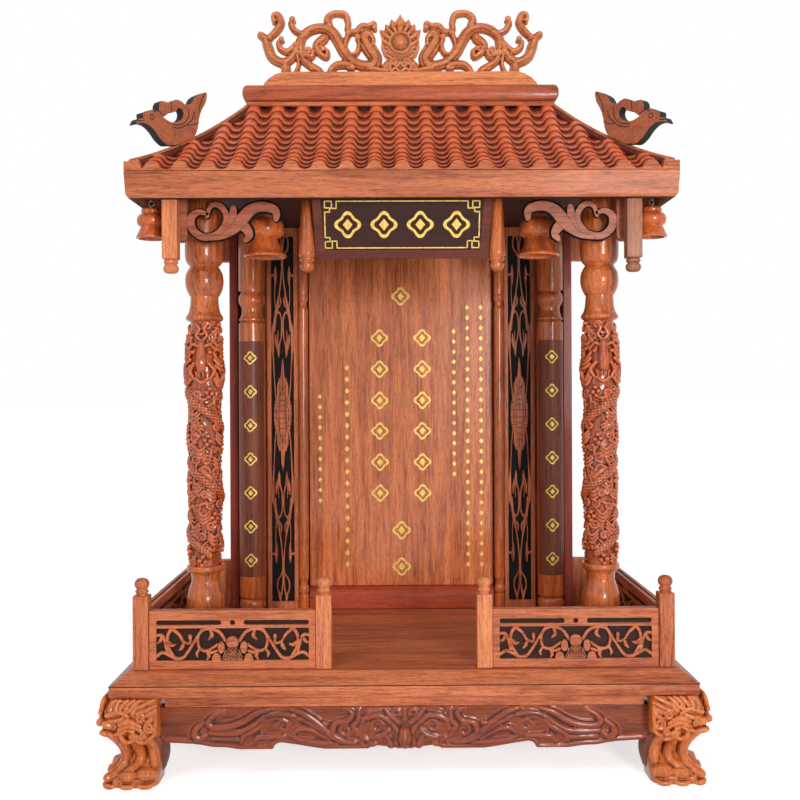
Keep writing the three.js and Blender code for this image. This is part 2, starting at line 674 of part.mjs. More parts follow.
// Name plaque: a framed board without writing, tilted so that it faces down to the viewer.
const plaqueBottomX = innerPendantX - innerPendantDiameter / 2 - fitGap;
const plaqueTopX = plaqueWidth / 2;
const plaqueOutline = [
  [-plaqueBottomX, 0], [plaqueBottomX, 0], [plaqueTopX, plaqueHeight], [-plaqueTopX, plaqueHeight],
];
const plaqueInner = [
  [-plaqueBottomX + plaqueFrame, plaqueFrame], [plaqueBottomX - plaqueFrame, plaqueFrame],
  [plaqueTopX - plaqueFrame, plaqueHeight - plaqueFrame],
  [-plaqueTopX + plaqueFrame, plaqueHeight - plaqueFrame],
];
const tilt = (plaqueTilt * Math.PI) / 180;
const plaqueBoard = solid(sawn(plaqueOutline, 0, plaqueThickness))
  .subtract(solid(sawn(plaqueInner, -overrun, overrun + plaqueRecess)));
const plaque = add('name_plaque', geometryOf(plaqueBoard), darkInlay);
plaque.rotation.x = tilt;
plaque.position.y = -eaveHalfDepth + fasciaThickness + plaqueSetback + plaqueHeight * Math.sin(tilt);
plaque.position.z = hangZ - plaqueHeight * Math.cos(tilt) - plaqueThickness * Math.sin(tilt);

// Inner pendants: turned, swelling towards the knob at the bottom.
const pendantKnobShares = [
  [0, 0.12], [0.02, 0.3], [0.05, 0.4], [0.09, 0.42], [0.12, 0.36], [0.135, 0.4], [0.15, 0.46],
  [0.165, 0.46], [0.175, 0.4], [0.19, 0.44], [0.22, 0.5], [0.4, 0.46],
];
const innerPendantShares = [...pendantKnobShares, [1, innerPendantTop / innerPendantDiameter / 2]];
addPair('pendant_inner', turned(innerPendantShares, innerPendantLength, innerPendantDiameter, slenderSides)
  .translate(innerPendantX, innerPendantY, hangZ - innerPendantLength), glossRosewood);

// Outer pendants: square, with a collar and a square knob. [height share, half width share]
const outerPendantShares = [
  [0, 0.34], [0.03, 0.44], [0.075, 0.46], [0.1, 0.4], [0.115, 0.38], [0.13, 0.43], [0.145, 0.43],
  [0.16, 0.38], [0.175, 0.4], [0.19, 0.5], [1, 0.5],
];
const outerPendant = tiered(outerPendantShares.map(([up, half]) => [
  hangZ - outerPendantLength + up * outerPendantLength, half * outerPendantWidth, half * outerPendantWidth,
]));
addPair('pendant_outer', outerPendant.translate(outerPendantX, outerPendantY, 0), mattRosewood);

// Brackets: a sawn heart scroll and an S with a curled tip, on a stile behind the outer pendant.
// Strokes run from the stile inwards, in shares of the bracket's length and height.
const bracketShares = [
  [[0.28, 0.66, 0.1], [0.21, 0.7, 0.16], [0.146, 0.6, 0.2], [0.133, 0.415, 0.21], [0.166, 0.227, 0.2],
    [0.233, 0.108, 0.19], [0.306, 0.094, 0.19], [0.387, 0.16, 0.19], [0.45, 0.33, 0.19],
    [0.474, 0.52, 0.155], [0.46, 0.706, 0.155], [0.413, 0.846, 0.155], [0.353, 0.874, 0.145],
    [0.31, 0.78, 0.11], [0.29, 0.6, 0.1]],
  [[0.33, 0.05, 0.09], [0.43, 0.1, 0.12], [0.494, 0.185, 0.16], [0.567, 0.35, 0.22], [0.627, 0.55, 0.26],
    [0.69, 0.75, 0.25], [0.768, 0.85, 0.21], [0.85, 0.86, 0.22], [0.928, 0.8, 0.19], [0.96, 0.68, 0.15],
    [0.96, 0.54, 0.12]],
  [[0.61, 0.42, 0.24], [0.67, 0.26, 0.2], [0.69, 0.12, 0.16], [0.67, 0.01, 0.1]],
  [[0.45, 0.17, 0.06], [0.51, 0.36, 0.13], [0.544, 0.57, 0.18], [0.55, 0.77, 0.14]],
];
const bracketOuterX = outerPendantX - outerPendantWidth / 2 + bracketLap;
const bracketInnerX = innerPendantX + innerPendantDiameter / 2 + bracketEndGap;
const bracketBottomZ = hangZ - bracketDrop - bracketHeight;
const bracketFrontY = -eaveHalfDepth + fasciaThickness + bracketSetback;
const bracketStileBlock = block(bracketOuterX - bracketStile, bracketOuterX, bracketFrontY,
  bracketFrontY + bracketThickness, bracketBottomZ, hangZ);
const bracketStraps = placed(bracketShares, bracketOuterX, bracketBottomZ, bracketInnerX - bracketOuterX,
  bracketHeight, bracketHeight).map((stroke) => strap(stroke, bracketFrontY, bracketThickness));
addPair('bracket', geometryOf(joined([bracketStileBlock, ...bracketStraps])), mattRosewood);

// Roof slopes: boards with a hollow curve, carved into tile rows that run down to the eave.
const roofSagShare = 0.38;
const tileSteps = 3;
const slopeSteps = 3;

// Height of the hollow roof curve at a share of the run from the eave to the ridge, and of the
// straight stretches that the slopes follow it in.
function roofCurve(share) {
  return slopeBottomZ + tileEdge + roofRise * ((1 - roofSagShare) * share + roofSagShare * share ** 2);
}
function roofLine(share) {
  const step = Math.min(Math.floor(share * slopeSteps), slopeSteps - 1);
  const low = roofCurve(step / slopeSteps);
  const high = roofCurve((step + 1) / slopeSteps);
  return low + (high - low) * (share * slopeSteps - step);
}

// Where the sections of a slope board lie up the run, and how far the tiles have sunk below the roof
// line there: each course starts on it with a lip and sinks until the next lip covers its top. The
// ridge board covers the last lip.
const plainSections = Array.from({ length: slopeSteps + 1 }, (_, step) => [step / slopeSteps, 0]);
function courseSections(run) {
  const sections = [];
  for (let course = 0; course < tileCourses; course++) {
    sections.push([course / tileCourses, 0]);
    sections.push([(course + 1) / tileCourses - courseLap / run, courseStep]);
  }
  return [...sections, [1, 0]];
}

// Sections of a slope from the eave up the run: each has its underside from left to right and then its
// top, cut into tile rows of the given relief, from right to left. Only a plain slope, without tiles,
// has the board's real underside.
function slopeBoard(halfSpan, run, relief, sections) {
  const columns = relief > 0 ? Math.ceil((2 * halfSpan) / tilePitch) * tileSteps : 1;
  const rings = [];
  for (const [share, sunk] of sections) {
    const line = roofLine(share);
    const under = relief > 0 ? slopeBottomZ - overrun : Math.max(slopeBottomZ, line - slopeThickness);
    const top = [];
    const bottom = [];
    for (let column = 0; column <= columns; column++) {
      const x = halfSpan * ((2 * column) / columns - 1);
      const fall = (relief * (1 - Math.cos((2 * Math.PI * x) / tilePitch))) / 2;
      top.push(new THREE.Vector3(x, share * run, line - fall - sunk));
      bottom.push(new THREE.Vector3(x, share * run, under));
    }
    rings.push([...bottom, ...top.reverse()]);
  }
  return rings;
}

// Skins those sections, with the two end faces closed in strips because they aren't convex.
function slopeSolid(rings) {
  const count = rings[0].length;
  const columns = count / 2;
  const positions = rings.flat().flatMap((p) => [p.x, p.y, p.z]);
  const index = [];
  for (let ring = 0; ring + 1 < rings.length; ring++) {
    for (let i = 0; i < count; i++) {
      const a = ring * count + i;
      const b = ring * count + ((i + 1) % count);
      index.push(a, b + count, b, a, a + count, b + count);
    }
  }
  const last = (rings.length - 1) * count;
  for (let i = 0; i + 1 < columns; i++) {
    const up = count - 1 - i;
    index.push(i, i + 1, up, i + 1, up - 1, up);
    index.push(last + i, last + up, last + i + 1, last + i + 1, last + up, last + up - 1);
  }
  const geometry = new THREE.BufferGeometry();
  geometry.setAttribute('position', new THREE.Float32BufferAttribute(positions, 3));
  return solid(geometry.setIndex(index));
}

// An upright prism over a plan outline, high enough to cut the whole roof.
function planPrism(points) {
  const shape = new THREE.Shape(points.map(([x, y]) => new THREE.Vector2(x, y)));
  const depth = roofRise + tileEdge + 2 * overrun;
  return solid(new THREE.ExtrudeGeometry(shape, { depth, bevelEnabled: false })
    .translate(0, 0, slopeBottomZ - overrun));
}

// One slope, its eave edge on y = 0, mitred along both hips with half the clearance on each side.
function slope(halfSpan, run, hipRun, tileSections) {
  const miter = (fitGap / 2) * (Math.hypot(run, hipRun) / run);
  const stripWidth = hipStrip * (Math.hypot(run, hipRun) / run);
  const lowX = halfSpan - miter;
  const highX = lowX - hipRun;
  const plan = planPrism([[-lowX, 0], [lowX, 0], [highX, run], [-highX, run]]);
  const strips = [-1, 1].map((sign) => {
    const outline = [[lowX, 0], [highX, run], [highX - stripWidth, run], [lowX - stripWidth, 0]];
    return planPrism(sign > 0 ? outline : outline.map(([x, y]) => [-x, y]).reverse());
  });
  const tiles = slopeSolid(slopeBoard(halfSpan, run, tileRelief, tileSections));
  const plain = slopeSolid(slopeBoard(halfSpan, run, 0, plainSections));
  const board = plain.intersect(plan);
  return geometryOf(tiles.intersect(board).add(board.intersect(strips[0].add(strips[1]))));
}
const frontSlope = slope(eaveHalfLength, frontSlopeRun, endSlopeRun, courseSections(frontSlopeRun))
  .translate(0, -eaveHalfDepth, 0);
const endSlope = slope(eaveHalfDepth, endSlopeRun, frontSlopeRun, plainSections)
  .translate(0, -eaveHalfLength, 0);
add('roof_slope_front', frontSlope, tileRosewood);
add('roof_slope_rear', frontSlope, tileRosewood).rotation.z = Math.PI;
add('roof_slope_left', endSlope, tileRosewood).rotation.z = -Math.PI / 2;
add('roof_slope_right', endSlope, tileRosewood).rotation.z = Math.PI / 2;

// Ridge boards: a round-nosed one that covers the slopes, and a tapered one with rounded ends.
const ridgeLowerX = eaveHalfLength - endSlopeRun + ridgeLowerOverhang;
const ridgeLowerY = eaveHalfDepth - frontSlopeRun + ridgeLowerOverhang;
const ridgeLowerZ = ridgeZ + fitGap;
const noseShares = [[0, 1], [0.12, 0.35], [0.32, 0.05], [0.5, 0], [0.68, 0.05], [0.88, 0.35], [1, 1]];
add('ridge_board_lower', tiered(noseShares.map(([up, inset]) => [
  ridgeLowerZ + up * ridgeLowerHeight, ridgeLowerX - inset * ridgeNose, ridgeLowerY - inset * ridgeNose,
])), mattRosewood);
const ridgeUpperZ = ridgeLowerZ + ridgeLowerHeight + fitGap;
const ridgeUpperX = ridgeLowerX - ridgeUpperInset;
const ridgeUpperY = ridgeUpperDepth / 2;
const shoulderShares = [[0, 0], [0.3, 0.1], [0.6, 0.32], [0.85, 0.64], [1, 1]];
add('ridge_board_upper', tiered(shoulderShares.map(([up, inset]) => [
  ridgeUpperZ + up * ridgeUpperHeight, ridgeUpperX - inset * ridgeUpperTaper,
  ridgeUpperY - inset * ridgeNose,
])), mattRosewood);

// Ridge carving: two dragons that face a flaming pearl, sawn through and carved on both faces.
// Strokes in shares of half the length, outwards from the pearl, and of the height. Their width follows
// the height, or the length once that has grown, so that the scrolls still meet.
const carvingShares = [
  [[0.98, 0.62, 0.12], [0.95, 0.56, 0.13], [0.93, 0.43, 0.15], [0.9, 0.27, 0.15], [0.83, 0.19, 0.15],
    [0.77, 0.25, 0.14], [0.73, 0.4, 0.13], [0.7, 0.56, 0.13], [0.64, 0.69, 0.15], [0.555, 0.735, 0.15],
    [0.48, 0.67, 0.17], [0.43, 0.5, 0.17], [0.388, 0.33, 0.17], [0.33, 0.2, 0.16], [0.26, 0.14, 0.17],
    [0.2, 0.14, 0.2], [0.175, 0.25, 0.2], [0.215, 0.4, 0.22], [0.25, 0.54, 0.2], [0.235, 0.64, 0.17],
    [0.195, 0.57, 0.09], [0.19, 0.47, 0.06]],
  [[0.92, 0.58, 0.1], [0.87, 0.69, 0.12], [0.84, 0.81, 0.12], [0.86, 0.93, 0.12], [0.89, 0.93, 0.09],
    [0.89, 0.84, 0.06]],
  [[0.67, 0.62, 0.1], [0.735, 0.68, 0.1], [0.757, 0.74, 0.1], [0.767, 0.81, 0.1], [0.757, 0.86, 0.08]],
  [[0.735, 0.46, 0.1], [0.79, 0.36, 0.11], [0.84, 0.4, 0.1], [0.855, 0.5, 0.09], [0.835, 0.55, 0.07]],
  [[0.655, 0.65, 0.1], [0.69, 0.56, 0.12], [0.7, 0.41, 0.13], [0.67, 0.3, 0.12], [0.625, 0.28, 0.11],
    [0.615, 0.36, 0.08], [0.64, 0.39, 0.06]],
  [[0.7, 0.33, 0.12], [0.67, 0.2, 0.12], [0.62, 0.12, 0.13], [0.575, 0.05, 0.14], [0.57, -0.03, 0.14]],
  [[0.73, 0.36, 0.08], [0.715, 0.17, 0.07], [0.73, 0.05, 0.09], [0.74, -0.03, 0.1]],
  [[0.81, 0.17, 0.14], [0.805, 0.06, 0.15], [0.805, -0.03, 0.17]],
  [[0.54, 0.56, 0.16], [0.59, 0.46, 0.13], [0.565, 0.33, 0.11], [0.52, 0.27, 0.1], [0.515, 0.37, 0.08],
    [0.54, 0.4, 0.07]],
  [[0.5, 0.76, 0.13], [0.51, 0.88, 0.12], [0.465, 0.96, 0.1], [0.39, 0.94, 0.11], [0.367, 0.82, 0.1],
    [0.367, 0.69, 0.1], [0.31, 0.67, 0.11], [0.27, 0.75, 0.12], [0.22, 0.76, 0.1], [0.185, 0.81, 0.08],
    [0.18, 0.73, 0.07]],
  [[0.365, 0.64, 0.1], [0.388, 0.46, 0.08], [0.365, 0.32, 0.08], [0.31, 0.33, 0.09], [0.29, 0.46, 0.08],
    [0.3, 0.58, 0.08]],
  [[0.5, -0.03, 0.11], [0.485, 0.08, 0.11], [0.44, 0.15, 0.13], [0.37, 0.15, 0.13], [0.34, 0.1, 0.1]],
  [[0.22, 0.1, 0.14], [0.14, 0.06, 0.1], [0.1, 0.05, 0.12]],
];
// The flaming pearl's plate: [outward share of the height, height share].
const flameShares = [
  [0.18, -0.02], [0.26, 0.03], [0.27, 0.12], [0.2, 0.18], [0.12, 0.21], [0.22, 0.26], [0.3, 0.34], [0.31, 0.45],
  [0.33, 0.57], [0.28, 0.6], [0.29, 0.7], [0.22, 0.72], [0.21, 0.82], [0.13, 0.82], [0.1, 0.92], [0.05, 0.87],
];
const flameTipShare = 1;
const pearlShare = 0.155;
const pearlHeightShare = 0.53;
const carvingZ = ridgeUpperZ + ridgeUpperHeight + fitGap;
const carvingFrontY = -carvingThickness / 2;
const flameHalf = flameShares.map(([out, up]) => [out * carvingHeight, carvingZ + up * carvingHeight]);
const flameOutline = [
  ...flameHalf, [0, carvingZ + flameTipShare * carvingHeight], ...flameHalf.slice().reverse()
    .map(([x, z]) => [-x, z]),
];
const pearl = new THREE.SphereGeometry(1, slenderSides, slenderSides / 2)
  .scale(pearlShare * carvingHeight, carvingThickness / 2 + overrun, pearlShare * carvingHeight)
  .translate(0, 0, carvingZ + pearlHeightShare * carvingHeight);
const strapLengthShare = 0.2235;
const strapUnit = Math.max(carvingHeight, carvingLength * strapLengthShare);
const dragonStraps = [-1, 1].flatMap((sign) => placed(carvingShares, 0, carvingZ,
  (sign * carvingLength) / 2, carvingHeight, strapUnit)
  .map((stroke) => strap(stroke, carvingFrontY, carvingThickness)));
const belowCarving = block(-carvingLength, carvingLength, -carvingThickness, carvingThickness,
  carvingZ - carvingHeight, carvingZ);
const carving = joined([sawn(flameOutline, carvingFrontY, carvingThickness), pearl, ...dragonStraps])
  .subtract(solid(belowCarving));
add('ridge_carving', geometryOf(carving), goldenRosewood);

// Phoenixes: outline and the hole under the wing, in shares of the length from the tail and of the
// height. The first two points are the foot that lies along the hip.
const phoenixOutlineShares = [
  [0.5, 0], [0.59, -0.02], [0.68, 0.05], [0.75, 0.15], [0.84, 0.22], [0.93, 0.22], [1, 0.18], [0.97, 0.27],
  [0.91, 0.3], [0.91, 0.38], [0.85, 0.42], [0.77, 0.48], [0.7, 0.47], [0.69, 0.58], [0.65, 0.65],
  [0.54, 0.66], [0.44, 0.74], [0.37, 0.73], [0.32, 0.7], [0.24, 0.74], [0.19, 0.85], [0.11, 0.93],
  [0.01, 1], [0, 0.94], [0.02, 0.82], [0.08, 0.68], [0.12, 0.52], [0.14, 0.36], [0.19, 0.22],
];
const phoenixHoleShares = [
  [0.63, 0.4], [0.54, 0.5], [0.46, 0.54], [0.42, 0.61], [0.37, 0.6], [0.35, 0.54], [0.37, 0.46], [0.42, 0.4],
  [0.5, 0.36], [0.57, 0.37],
];
const phoenixFootShares = [0.28, 0.43];
const phoenixStandShare = 0.4;
const hipLength = Math.hypot(endSlopeRun, frontSlopeRun);
const hipX = eaveHalfLength - phoenixHipShare * endSlopeRun;
const hipY = -eaveHalfDepth + phoenixHipShare * frontSlopeRun;
const hipAngle = Math.atan2(-frontSlopeRun, endSlopeRun);
const phoenixBaseZ = roofLine(phoenixHipShare) + fitGap;
const hipAt = (along) => (along - phoenixStandShare) * phoenixLength;
const phoenixFoot = phoenixFootShares.map((share) => [
  hipAt(share), roofLine(phoenixHipShare - hipAt(share) / hipLength) + fitGap - phoenixBaseZ,
]);
const phoenixOutline = [
  ...phoenixFoot,
  ...phoenixOutlineShares.map(([along, up]) => [hipAt(along), up * phoenixHeight]),
];
const phoenixHole = phoenixHoleShares.map(([along, up]) => [hipAt(along), up * phoenixHeight]);
const phoenix = sawn(phoenixOutline, -phoenixThickness / 2, phoenixThickness, [phoenixHole])
  .rotateZ(hipAngle).translate(hipX, hipY, phoenixBaseZ);
addCorners('phoenix', phoenix, darkInlay);

// Bells: the turned body with a hollow mouth, a wire loop in its cap, and the screw eye above.
const innerBellShares = [
  [0, 0.5], [0.05, 0.49], [0.14, 0.4], [0.28, 0.33], [0.405, 0.29], [0.43, 0.33], [0.52, 0.39],
  [0.62, 0.4], [0.74, 0.38], [0.88, 0.31], [1, 0.18],
];
const outerBellShares = [
  [0, 0.5], [0.06, 0.5], [0.18, 0.44], [0.36, 0.4], [0.42, 0.45], [0.55, 0.465], [0.68, 0.455],
  [0.79, 0.38], [0.83, 0.33], [0.95, 0.33], [1, 0.2],
];
const mouthTopShare = 0.55;
const loopRadius = loopDiameter / 2;
const wireRadius = wireDiameter / 2;

function bell(rows, height, diameter, x, y, topZ) {
  const mouthRadius = diameter / 2 - bellWall;
  const mouth = new THREE.CylinderGeometry(mouthRadius * mouthTopShare, mouthRadius,
    bellMouthDepth + overrun, columnSides).rotateX(Math.PI / 2)
    .translate(0, 0, (bellMouthDepth - overrun) / 2);
  const loop = new THREE.TorusGeometry(loopRadius, wireRadius, wireSides, loopSides)
    .rotateY(Math.PI / 2).translate(0, 0, height + loopRadius - wireRadius);
  const body = solid(turned(rows, height, diameter, columnSides)).subtract(solid(mouth)).add(solid(loop));
  return geometryOf(body).translate(x, y, topZ - height);
}

function screwEye(x, y, bellTopZ) {
  const eyeZ = bellTopZ + 3 * loopRadius - 3 * wireRadius - fitGap;
  const eye = new THREE.TorusGeometry(loopRadius, wireRadius, wireSides, loopSides).rotateX(Math.PI / 2);
  const shankBottomZ = eyeZ + loopRadius;
  const shankTopZ = ceilingZ + shankDepth;
  const shank = new THREE.CylinderGeometry(wireRadius, wireRadius, shankTopZ - shankBottomZ, wireSides)
    .rotateX(Math.PI / 2).translate(0, 0, (shankTopZ + shankBottomZ) / 2);
  return geometryOf(joined([eye.translate(0, 0, eyeZ), shank])).translate(x, y, 0);
}
const innerBellTopZ = ceilingZ - innerBellDrop;
const outerBellTopZ = ceilingZ - outerBellDrop;
addPair('bell_inner', bell(innerBellShares, innerBellHeight, innerBellDiameter, innerBellX, innerBellY,
  innerBellTopZ), glossRosewood);
addPair('bell_outer', bell(outerBellShares, outerBellHeight, outerBellDiameter, outerBellX, outerBellY,
  outerBellTopZ), glossRosewood);
addPair('screw_eye_inner', screwEye(innerBellX, innerBellY, innerBellTopZ), wire);
addPair('screw_eye_outer', screwEye(outerBellX, outerBellY, outerBellTopZ), wire);

export default shrine;
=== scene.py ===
# A carved rosewood household shrine on a pale floor: clawed feet, a fenced platform, columns and a
# niche with an upright tablet, under a hipped tile roof with a carved ridge. Metres, front towards -Y.
import math
import random

import bmesh
import bpy
import numpy as np
from mathutils import Matrix, Vector


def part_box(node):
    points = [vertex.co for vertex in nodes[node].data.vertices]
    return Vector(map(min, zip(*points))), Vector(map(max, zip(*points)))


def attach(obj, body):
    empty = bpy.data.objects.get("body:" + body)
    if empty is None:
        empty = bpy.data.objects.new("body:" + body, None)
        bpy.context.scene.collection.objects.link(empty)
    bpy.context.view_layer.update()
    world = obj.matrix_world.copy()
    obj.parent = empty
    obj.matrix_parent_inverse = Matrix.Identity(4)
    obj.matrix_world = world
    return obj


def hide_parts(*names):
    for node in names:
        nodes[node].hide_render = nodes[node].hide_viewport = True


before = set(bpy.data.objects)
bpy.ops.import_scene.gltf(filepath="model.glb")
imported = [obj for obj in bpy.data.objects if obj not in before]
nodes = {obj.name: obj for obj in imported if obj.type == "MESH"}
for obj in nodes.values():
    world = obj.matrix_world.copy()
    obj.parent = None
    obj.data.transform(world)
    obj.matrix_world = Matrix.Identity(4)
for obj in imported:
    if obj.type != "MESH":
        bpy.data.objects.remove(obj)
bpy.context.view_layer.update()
scene = bpy.context.scene
scene.view_settings.view_transform = "Standard"

# Camera: level with the tablet, a little to the left of the middle and about 0.87 m in front of it. The
# picture is square, so the focal length in pixels is the lens over the sensor times its width.
camera = bpy.data.objects.new("camera", bpy.data.cameras.new("camera"))
scene.collection.objects.link(camera)
camera.data.lens = 45
camera.data.sensor_width = 36
camera.location = (-0.0075, -0.868, 0.289)
camera.rotation_euler = (math.radians(90), math.radians(0.26), math.radians(-0.39))
camera.data.shift_y = -0.01
scene.camera = camera

# Floor and light: a white floor and world, a soft sun from the upper left and two soft lamps that draw
# upright highlights on the turned columns. The background is white for the camera and in gloss.
FLOOR_GLOW, WORLD_LIGHT = 0.66, 0.3


def settle(node, **values):
    """Sets a node's own inputs; each name has _ for a space."""
    for name, value in values.items():
        node.inputs[name.replace("_", " ")].default_value = value


class Tree:
    """Adds nodes to a tree and links them, so that a pattern reads as a list of steps."""

    def __init__(self, tree):
        self.tree = tree

    def put(self, kind, settings=None, **inputs):
        """Adds a node. An input goes by its name, with _ for a space, or by i and its number."""
        node = self.tree.nodes.new(kind)
        for setting, value in (settings or {}).items():
            setattr(node, setting, value)
        for name, value in inputs.items():
            entry = node.inputs[int(name[1:]) if name[1:].isdigit() else name.replace("_", " ")]
            if isinstance(value, bpy.types.NodeSocket):
                self.tree.links.new(value, entry)
            else:
                entry.default_value = value
        return node

    def math(self, operation, a, b=0.0):
        return self.put("ShaderNodeMath", {"operation": operation}, i0=a, i1=b).outputs[0]

    def ramp(self, value, low, high):
        return self.put("ShaderNodeMapRange", {"interpolation_type": "SMOOTHSTEP"}, Value=value,
                        From_Min=low, From_Max=high).outputs["Result"]

    def mix(self, share, a, b):
        return self.put("ShaderNodeMix", {"data_type": "RGBA"}, i0=share, i6=a, i7=b).outputs[2]

    def noise(self, vector, scale, detail, roughness, distortion=0.0):
        return self.put("ShaderNodeTexNoise", Vector=vector, Scale=scale, Detail=detail,
                        Roughness=roughness, Distortion=distortion).outputs["Fac"]

    def place(self):
        return self.put("ShaderNodeTexCoord").outputs["Object"]


def new_paint(name):
    """A material, its tree and its shader."""
    paint = bpy.data.materials.new(name)
    paint.use_nodes = True
    return paint, Tree(paint.node_tree), paint.node_tree.nodes["Principled BSDF"]


def background_rays(tree):
    """One for the rays that see the background: the camera's, and those in gloss or glass."""
    path = tree.put("ShaderNodeLightPath").outputs
    either = tree.math("MAXIMUM", path["Is Camera Ray"], path["Is Glossy Ray"])
    return tree.math("MAXIMUM", either, path["Is Transmission Ray"])


floor = bpy.data.objects.new("floor", bpy.data.meshes.new("floor"))
scene.collection.objects.link(floor)
floor_shape = bmesh.new()
bmesh.ops.create_grid(floor_shape, x_segments=1, y_segments=1, size=30)
floor_shape.to_mesh(floor.data)
floor_shape.free()
floor_paint, tree, shader = new_paint("floor")
settle(shader, Base_Color=(0.93, 0.93, 0.93, 1), Roughness=0.9, Specular_IOR_Level=0.1,
       Emission_Color=(1, 1, 1, 1))
floor_paint.node_tree.links.new(tree.math("MULTIPLY", background_rays(tree), FLOOR_GLOW),
                                shader.inputs["Emission Strength"])
floor.data.materials.append(floor_paint)

scene.world = bpy.data.worlds.new("studio")
scene.world.use_nodes = True
sky = scene.world.node_tree.nodes["Background"]
settle(sky, Color=(1, 1, 1, 1))
tree = Tree(scene.world.node_tree)
bright = tree.put("ShaderNodeMapRange", Value=background_rays(tree), To_Min=WORLD_LIGHT, To_Max=1.0)
scene.world.node_tree.links.new(bright.outputs["Result"], sky.inputs["Strength"])


def lamp(name, kind, energy, place, aim, **settings):
    """A lamp at a place in metres that points at another."""
    light = bpy.data.lights.new(name, kind)
    light.energy = energy
    for setting, value in settings.items():
        setattr(light, setting, value)
    holder = bpy.data.objects.new(name, light)
    holder.location = place
    holder.rotation_euler = (Vector(aim) - Vector(place)).to_track_quat("-Z", "Y").to_euler()
    scene.collection.objects.link(holder)


lamp("sun", "SUN", 0.5, (-1.0, -2.2, 2.6), (0, 0, 0.3), angle=math.radians(20))
lamp("lamp_front", "AREA", 12, (0.46, -1.45, 0.41), (0, 0, 0.3), shape="RECTANGLE", size=0.3, size_y=0.4)
lamp("lamp_left", "AREA", 2.5, (-1.1, -1.3, 0.8), (0, 0, 0.35), shape="RECTANGLE", size=0.25, size_y=1.2)

# Legs: four clawed feet, each carved from one block of rosewood, with a beast's mask on the knee that
# looks out over the corner, three sinews down to the toes and a curled tuft behind the mouth.
MM = 0.001


def ink(red, green, blue):
    """A colour as it looks on a screen, 0 to 255, as the shader's linear numbers."""
    shares = [value / 255 for value in (red, green, blue)]
    return (*[s / 12.92 if s <= 0.04045 else ((s + 0.055) / 1.055) ** 2.4 for s in shares], 1)


def socket(group, name, direction, kind):
    group.interface.new_socket(name=name, in_out=direction, socket_type=kind)


# Rosewood figure: broad bands, fine streaks and short open pores. The vector comes in with one unit to a
# millimetre across the grain and squeezed along it.
figure = bpy.data.node_groups.new("rosewood_figure", "ShaderNodeTree")
socket(figure, "Vector", "INPUT", "NodeSocketVector")
socket(figure, "Light", "INPUT", "NodeSocketColor")
socket(figure, "Dark", "INPUT", "NodeSocketColor")
socket(figure, "Pores", "INPUT", "NodeSocketFloat")
socket(figure, "Color", "OUTPUT", "NodeSocketColor")
socket(figure, "Height", "OUTPUT", "NodeSocketFloat")
steps = Tree(figure)
given = steps.put("NodeGroupInput").outputs
band = steps.ramp(steps.noise(given["Vector"], 0.06, 3, 0.55, 1.2), 0.36, 0.68)
streak = steps.ramp(steps.noise(given["Vector"], 0.42, 5, 0.62, 0.6), 0.42, 0.68)
fine = steps.ramp(steps.noise(given["Vector"], 1.5, 3, 0.6), 0.35, 0.7)
pore = steps.ramp(steps.noise(given["Vector"], 2.4, 2, 0.5), 0.58, 0.68)
dim = steps.math("ADD", steps.math("MULTIPLY", band, 0.4), steps.math("MULTIPLY", streak, 0.42))
dim = steps.math("ADD", dim, steps.math("MULTIPLY", fine, 0.3))
hue = steps.mix(dim, given["Light"], given["Dark"])
pore = steps.math("MULTIPLY", pore, given["Pores"])
hue = steps.mix(pore, hue, ink(58, 22, 14))
height = steps.math("SUBTRACT", steps.math("MULTIPLY", fine, 0.4), pore)
steps.put("NodeGroupOutput", Color=hue, Height=height)

GRAIN_ALONG = 0.07
TURN_FOR_GRAIN = {"X": (GRAIN_ALONG, 1, 1), "Y": (1, GRAIN_ALONG, 1), "Z": (1, 1, GRAIN_ALONG)}


def rosewood(name, grain, light, dark, roughness, lacquer=0.0, pores=0.6, hollow_shade=0.0):
    """A rosewood finish. Its last number paints shade where the piece's own hollow attribute says it lies
    deep, and a painted highlight where it stands proud.
    """
    paint, tree, shader = new_paint(name)
    along = tree.put("ShaderNodeMapping", Vector=tree.place())
    settle(along, Scale=[share / MM for share in TURN_FOR_GRAIN[grain]],
           Location=[len(name) * spread for spread in (7.3, 3.1, 5.7)])
    wood = tree.put("ShaderNodeGroup", {"node_tree": figure}, Vector=along.outputs[0], Light=ink(*light),
                    Dark=ink(*dark), Pores=pores)
    colour = wood.outputs["Color"]
    if hollow_shade:
        deep = tree.put("ShaderNodeAttribute", {"attribute_name": "hollow"}).outputs["Fac"]
        # Painted shade in the hollows, and a painted highlight on what stands proud.
        low = tree.math("MULTIPLY", tree.ramp(deep, 0.47, 0.85), hollow_shade)
        high = tree.math("MULTIPLY", tree.ramp(deep, 0.5, 0.05), hollow_shade * 0.7)
        colour = tree.mix(low, colour, ink(48, 16, 10))
        colour = tree.mix(high, colour, ink(*[min(255, part * 1.12) for part in light]))
    settle(shader, Roughness=roughness, Specular_IOR_Level=0.2, Coat_Weight=0.6 * lacquer,
           Coat_Roughness=0.12)
    bump = tree.put("ShaderNodeBump", Height=wood.outputs["Height"], Strength=0.35, Distance=0.05 * MM)
    for entry, value in (("Base Color", colour), ("Normal", bump.outputs["Normal"])):
        paint.node_tree.links.new(value, shader.inputs[entry])
    return paint


